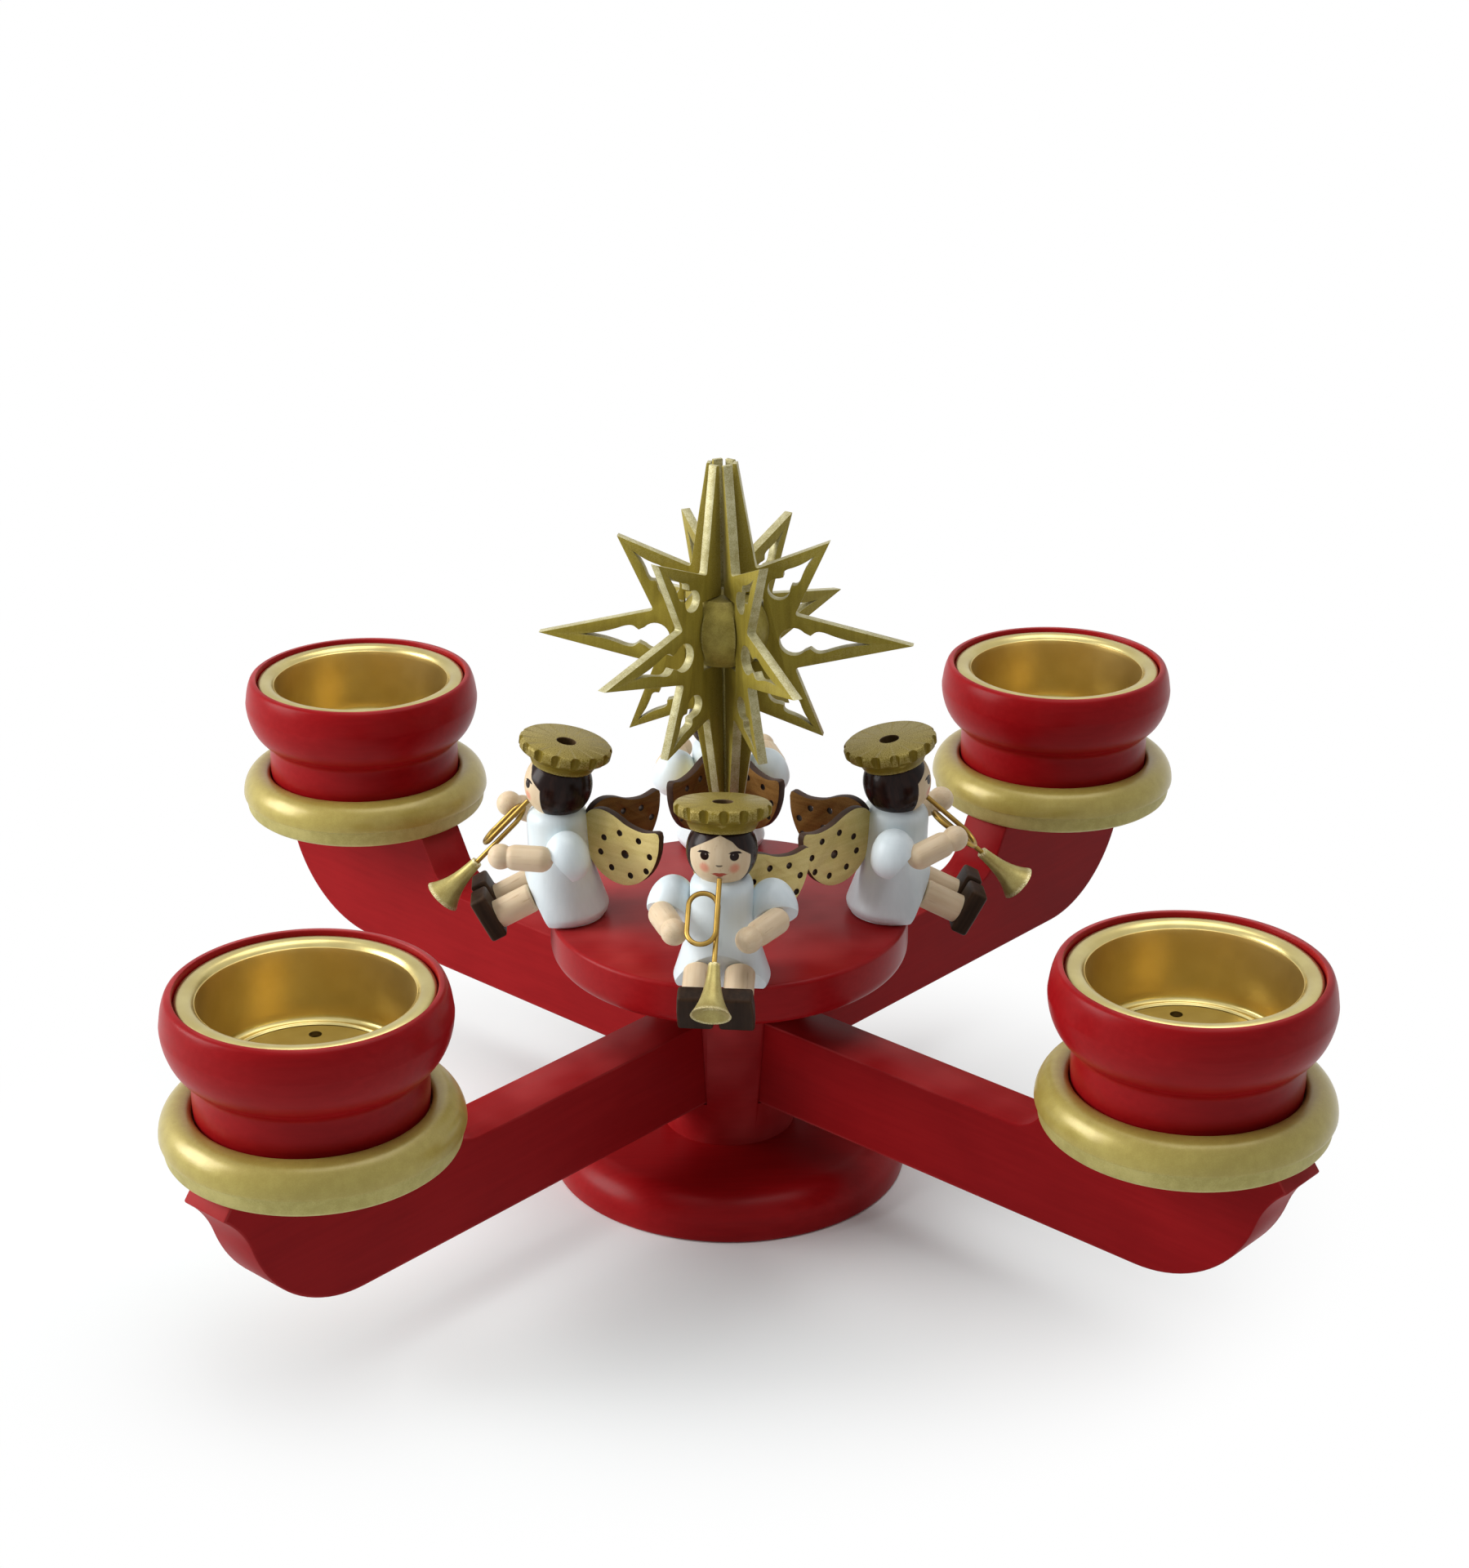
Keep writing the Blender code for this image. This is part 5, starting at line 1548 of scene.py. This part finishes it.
    def make_crown(self) -> Piece:
        """Turn the crown and cut its flutes.

        Returns:
            The crown on the head's axis.
        """
        top = self.crown_start + self.crown_height
        floor = top - 0.0042
        outside = flowing([(self.crown_rim - 0.0001, top - 0.0021), (self.crown_rim - 0.0007, top - 0.0027),
                           (0.0084, top - 0.0033), (0.0076, top - 0.0039),
                           (self.crown_band, self.crown_start + 0.0008)], 3)
        section = [(0.0, floor), (self.crown_hole, floor), (self.crown_hole, top - 0.0001),
                   (self.crown_hole + 0.0001, top), (self.crown_rim - 0.0006, top),
                   (self.crown_rim - 0.0001, top - 0.0004), (self.crown_rim, top - 0.0008)]
        section += outside + [(self.crown_band - 0.0004, self.crown_start), (0.0, self.crown_start)]
        crown = turned("crown_model", section)
        for index in range(self.notches):
            turn = 2 * pi * (index + 0.5) / self.notches
            flute = turned("flute", [(0.0, 0.006), (self.flute_radius, 0.006), (self.flute_radius, 0.0),
                                     (self.flute_radius * 0.75, -0.0024), (0.0, -0.0030)], 20)
            spot = Vector((cos(turn), sin(turn), 0.0))
            pose = aimed(spot * (self.crown_rim + 0.0004) + Vector((0.0, 0.0, top - 0.0008)),
                         spot * 0.22 + Vector((0.0, 0.0, 1.0)))
            carve(crown, put(flute, pose))
        return crown

    def make_leg(self) -> Piece:
        """Turn a leg.

        Returns:
            The leg along Z.
        """
        end, rounding = self.leg_length + self.leg_overlap, self.leg_round
        section = [(0.0, end), (self.leg_radius, end)]
        section += arc((self.leg_radius - rounding, rounding + FIT), (rounding,) * 2, 0.0, -90.0, 6)
        return turned("leg_model", section + [(0.0, FIT)], 48)

    def make_shoe(self) -> Piece:
        """Shape a shoe from a block: rounded at the toe, the heel and the sole.

        Returns:
            The shoe below its leg.
        """
        length, thickness = self.shoe[1:]
        shoe = box("shoe_model", self.shoe,
                   (0.0, length / 2 - self.shoe_below, FIT + self.leg_length + thickness / 2))
        pick(shoe)
        bpy.ops.object.mode_set(mode="EDIT")
        bpy.ops.mesh.select_all(action="SELECT")
        bpy.ops.mesh.subdivide(number_cuts=1)
        bpy.ops.mesh.select_all(action="DESELECT")
        bpy.ops.object.mode_set(mode="OBJECT")
        for vertex in shoe.data.vertices:
            vertex.select = vertex.co.y > length * 0.9 - self.shoe_below
        bpy.ops.object.mode_set(mode="EDIT")
        bpy.ops.transform.resize(value=(0.92, 1.0, 1.0))
        bpy.ops.object.mode_set(mode="OBJECT")
        break_edges(shoe, 0.0007, 40.0, 4)
        return shoe

    def wing_loops(self) -> list[list[Spot]]:
        """The waved outline of a wing from its root along X, and its drilled holes.

        Returns:
            The outline and the holes.
        """
        upper = [(0.0, 0.33), (0.10, 0.46), (0.24, 0.51), (0.40, 0.47), (0.58, 0.375), (0.78, 0.34),
                 (0.95, 0.385)]
        lower = [(1.0, 0.31), (0.98, 0.08), (0.90, -0.17), (0.76, -0.37), (0.58, -0.48), (0.38, -0.48),
                 (0.20, -0.38), (0.07, -0.20), (0.0, 0.0)]
        outline = flowing(upper, 4) + [(0.985, 0.375)] + flowing(lower, 4)
        middle = (0.55, -0.04)
        ring = arc(middle, (0.33, 0.29), 12.0, 327.0, 8)
        loops = [[(self.wing_length * x, self.wing_depth * y) for x, y in outline]]
        big, small = self.wing_holes
        for spot, radius in [(middle, big)] + [(spot, small) for spot in ring]:
            place = (self.wing_length * spot[0], self.wing_depth * spot[1])
            loops.append(arc(place, (radius, radius), 0.0, 337.5, 16))
        return loops

    def make_wing(self, hand: Hand) -> Piece:
        """Cut a wing, gold on its outer side, stained on its inner side and scorched at its edges.

        Args:
            hand: The side of the angel.

        Returns:
            The wing in its own frame.
        """
        wing = sawn(f"wing_model_{hand.title}", self.wing_loops(), self.wing_thickness)
        break_edges(wing, 0.00008, 60.0)
        finished(wing, WING_FRONT.mix(), WING_REAR.mix(), SCORCH.mix(), angle=35.0)
        assign(wing, lambda face: 2 if abs(face.normal.z) < FLAT else int(face.normal.z * hand.value < 0.0))
        return wing

    def pipe_lift(self) -> float:
        """How far the wire's two runs lie to each side of the trumpet's plane."""
        return self.pipe_radius + self.coil_gap / 2

    def pipe_points(self) -> list[Vector]:
        """The wire's middle line.

        Returns:
            Points with Z along the trumpet, X across the coil and Y its lift.
        """
        half = self.coil_width / 2
        lift = self.pipe_lift()
        top = self.coil_start + half
        bottom = self.coil_start + self.coil_length - half
        points = [Vector((0.0, lift, FIT)), Vector((0.0, lift, top))]
        for start, level in ((0.0, bottom), (pi, top)):
            for index in range(17):
                turn = start + pi * index / 16
                points.append(Vector((half * cos(turn) - half, lift * (1 - turn / pi), level + half * sin(turn))))
        points += [Vector((0.0, -lift, bottom)), Vector((0.0, -lift, self.pipe_length + 0.0004))]
        return points

    def make_wire(self) -> Piece:
        """Bend the trumpet's wire.

        Returns:
            The wire in the trumpet's frame.
        """
        wire = start_drawing("wire_model")
        draw_run(self.pipe_points())
        bpy.ops.object.mode_set(mode="OBJECT")
        pick(wire)
        bpy.ops.object.convert(target="CURVE")
        curve = bpy.context.object
        curve.data.bevel_depth = self.pipe_radius
        curve.data.bevel_resolution = 3
        curve.data.use_fill_caps = True
        bpy.ops.object.convert(target="MESH")
        return bpy.context.object

    def make_bell(self) -> Piece:
        """Turn the trumpet's bell.

        Returns:
            The bell in the trumpet's frame.
        """
        flare = self.bell_mouth - self.bell_throat
        end = self.pipe_length + self.bell_length
        shares = [index / 18 for index in range(19)]
        outside = [(self.bell_throat + flare * (0.30 * share + 0.70 * share ** 3.2),
                    self.pipe_length + self.bell_length * share) for share in reversed(shares)]
        inside = flowing([(0.0, end - 0.0016), (0.0012, end - 0.0014), (0.0026, end - 0.0008),
                          (self.bell_mouth - 0.0004, end - 0.0001)], 4)
        return turned("bell_model", inside + outside + [(0.0, self.pipe_length)], 64)

    def trumpet_pose(self, drop: float) -> Matrix:
        """Where a trumpet goes.

        Args:
            drop: How far it points down in degrees.

        Returns:
            The trumpet's pose.
        """
        mouth = radians(self.mouth_angle)
        place = self.head_middle() + at(0.0, self.head_radius * cos(mouth), -self.head_radius * sin(mouth))
        along = at(0.0, cos(radians(drop)), -sin(radians(drop)))
        across = Vector((1.0, 0.0, 0.0))
        outward = along.cross(across)
        turn = Matrix((across, outward, along)).transposed().to_4x4()
        return Matrix.Translation(place - outward * self.pipe_lift()) @ turn

    def build(self) -> None:
        """Model each piece once and set the four angels."""
        white, skin = WHITE.mix(), SKIN.mix()
        models = {"dress": finished(self.make_dress(), white, angle=STRONG_BEND)}
        models |= {f"sleeve_{hand.title}": finished(self.make_sleeve(hand), white, angle=STRONG_BEND)
                   for hand in Hand}
        models["forearm"] = finished(self.make_forearm(), skin, angle=60.0)
        ball = arc((0.0, 0.0), (self.head_radius,) * 2, 90.0, -90.0, 49)
        models["head"] = finished(turned("head_model", [(max(r, 0.0), z) for r, z in ball]), HEAD.mix(),
                                  angle=60.0)
        crown = finished(self.make_crown(), CROWN_GOLD.mix(), SHADED_BARE_WOOD.mix(), angle=STRONG_BEND)
        # The crown's hole gets the dark wood: unpainted inside, and darkened as painted shade in the hole.
        assign(crown, lambda face: int(Vector(face.center[:2]).length < self.crown_hole + 0.0001
                                       and face.center.z > self.crown_start + 0.001))
        models["crown"] = crown
        models["leg"] = finished(self.make_leg(), skin, angle=STRONG_BEND)
        models["shoe"] = finished(self.make_shoe(), SHOE.mix(), angle=45.0)
        models |= {f"wing_{hand.title}": self.make_wing(hand) for hand in Hand}
        models["wire"] = finished(self.make_wire(), WIRE.mix(), angle=60.0)
        models["bell"] = finished(self.make_bell(), BELL_GOLD.mix(), angle=STRONG_BEND)
        for seat in self.seats:
            self.set_angel(seat, models)
        discard(*models.values())

    def set_angel(self, seat: Seat, models: dict[str, Piece]) -> None:
        """Copy the models to one angel's places.

        Args:
            seat: How the angel is set.
            models: The models of its pieces by name.
        """
        pose = seat.pose(self.reach, self.height)
        name = f"angel_{seat.name}"

        def give(model: str, title: str, place: Matrix, node: str) -> None:
            """Copy one model and give it to the frame."""
            hand_over(again(models[model], f"{name}_{title}", pose @ place), "holder", f"{name}_{node}")

        still = Matrix.Identity(4)
        give("dress", "dress_turned", still, "dress")
        tilt = radians(self.head_tilt)
        head_pose = aimed(self.head_middle(), at(0.0, -sin(tilt), cos(tilt)))
        give("head", "head_turned", head_pose, "head")
        give("crown", "crown_turned", head_pose, "head")
        for hand in Hand:
            give(f"sleeve_{hand.title}", f"sleeve_{hand.title}", still, "dress")
        for hand, inward, upward, shift in seat.forearms():
            level = cos(radians(upward))
            direction = at(-hand.value * sin(radians(inward)) * level, cos(radians(inward)) * level,
                           sin(radians(upward)))
            side, out, up = self.elbow
            elbow = at(hand.value * side, out + shift[0], up + shift[1])
            forearm = f"forearm_{hand.title}"
            give("forearm", f"{forearm}_turned", aimed(elbow, direction), forearm)
        toe_up = at(0.0, sin(radians(self.lap_angle)), cos(radians(self.lap_angle)))
        turn = Matrix((toe_up.cross(self.lap()), toe_up, self.lap())).transposed().to_4x4()
        for hand in Hand:
            out = self.lap_start + self.leg_height * tan(radians(self.lap_angle))
            leg_pose = Matrix.Translation(at(hand.value * self.leg_side, out, self.leg_height)) @ turn
            leg = f"leg_{hand.title}"
            give("leg", f"{leg}_turned", leg_pose, leg)
            give("shoe", f"shoe_{hand.title}", leg_pose, leg)
        aside = Matrix.Rotation(radians(seat.wings_turn), 3, "Z")
        back = self.wing_seat * tan(radians(self.lean)) - self.waist + self.wing_sunk
        root = aside @ at(0.0, back, self.wing_seat)
        spread = radians(self.wing_spread)
        for hand in Hand:
            direction = aside @ at(hand.value * sin(spread), -cos(spread), 0.0)
            give(f"wing_{hand.title}", f"wing_{hand.title}", upright(direction, root), "wings")
        trumpet = self.trumpet_pose(seat.trumpet_drop)
        bell = trumpet @ Matrix.Translation((0.0, -self.pipe_lift(), 0.0))
        give("wire", "trumpet_wire", trumpet, "trumpet")
        give("bell", "trumpet_bell", bell, "trumpet")


@dataclass
class Studio:
    """A pale floor, soft lamps, a white surround and the camera."""

    eye: Place = (-0.0326, -0.5946, 0.3388)
    yaw: float = 3.24
    pitch: float = 22.55
    roll: float = 0.16
    lens: float = 67.9
    floor_size: float = 8.0
    paper: Colour = (0.88, 0.93, 0.935)
    fade_scale: Place = (0.85, 1.1, 1.0)
    fade_shift: Place = (0.022, 0.018, 0.0)
    fade: Spot = (0.045, 0.145)
    ambient: float = 0.20
    aim: Place = (0.0, 0.0, 0.07)

    def build_floor(self) -> None:
        """Lay the floor; beyond the object's shadow it is plain white to the camera."""
        clear_selection()
        bpy.ops.mesh.primitive_grid_add(x_subdivisions=8, y_subdivisions=8, size=self.floor_size)
        floor = bpy.context.object
        floor.name = "floor"
        remember(floor)
        paper = Recipe("paper")
        paper.set(Base_Color=self.paper, Roughness=0.9, Specular_IOR_Level=0.0)
        across, along, _ = paper.parts(paper.stretched(self.fade_scale, self.fade_shift))
        away = paper.ramp(paper.reach(across, along), *self.fade)
        glow = paper.tree.nodes.new("ShaderNodeEmission")
        glow.inputs["Strength"].default_value = 1.0
        mix = paper.tree.nodes.new("ShaderNodeMixShader")
        paper.feed(mix.inputs[0], paper.sum("MULTIPLY", paper.white_rays(), away))
        paper.feed(mix.inputs[1], paper.shader.outputs[0])
        paper.feed(mix.inputs[2], glow.outputs[0])
        paper.feed(paper.tree.nodes["Material Output"].inputs["Surface"], mix.outputs[0])
        floor.data.materials.append(paper.material)

    def build_world(self) -> None:
        """Light everything a little from all round, and show white to the camera and in reflections."""
        world = bpy.data.worlds.new("surround")
        bpy.context.scene.world = world
        world.use_nodes = True
        wiring = Wiring(world.node_tree)
        backdrop = world.node_tree.nodes["Background"]
        backdrop.inputs["Color"].default_value = (1.0, 1.0, 1.0, 1.0)
        extra = wiring.sum("MULTIPLY", wiring.white_rays(), 1.0 - self.ambient)
        wiring.feed(backdrop.inputs["Strength"], wiring.sum("ADD", extra, self.ambient))

    def add_lamp(self, name: str, place: Sequence[float], size: float, power: float) -> None:
        """Hang a soft square lamp that looks at the object.

        Args:
            name: The lamp's name.
            place: Where it hangs.
            size: The length of its side.
            power: Its power in watts.
        """
        clear_selection()
        bpy.ops.object.light_add(type="AREA", location=place)
        lamp = bpy.context.object
        lamp.name = name
        lamp.data.shape = "SQUARE"
        lamp.data.size = size
        lamp.data.energy = power
        lamp.rotation_euler = (Vector(self.aim) - Vector(place)).to_track_quat("-Z", "Y").to_euler()

    def build_camera(self) -> None:
        """Set up the camera at the fitted place."""
        yaw, pitch, roll = radians(self.yaw), radians(self.pitch), radians(self.roll)
        forward = Vector((sin(yaw) * cos(pitch), cos(yaw) * cos(pitch), -sin(pitch)))
        level = Vector((cos(yaw), -sin(yaw), 0.0))
        up = level.cross(forward)
        right = level * cos(roll) + up * sin(roll)
        above = up * cos(roll) - level * sin(roll)
        pose = Matrix((right, above, -forward)).transposed().to_4x4()
        clear_selection()
        bpy.ops.object.camera_add()
        camera = bpy.context.object
        camera.matrix_world = Matrix.Translation(self.eye) @ pose
        camera.data.lens = self.lens
        camera.data.sensor_width = 36.0
        bpy.context.scene.camera = camera

    def build(self) -> None:
        """Set up the whole studio."""
        self.build_camera()
        self.build_floor()
        self.build_world()
        self.add_lamp("key", (-1.12, 0.0, 0.56), 0.70, 15.0)
        self.add_lamp("top", (0.15, 0.05, 1.25), 1.00, 8.5)
        bpy.context.scene.view_settings.view_transform = "Standard"


def main() -> None:
    """Build the studio and each sub-assembly in order."""
    logging.basicConfig(level=logging.INFO, format="%(message)s")
    builders: tuple[Callable[[], None], ...] = (Studio().build, Centre().build, Arm().build, CupSet().build,
                                                Star().build, Angels().build)
    for builder in builders:
        builder()


if __name__ == "__main__":
    main()
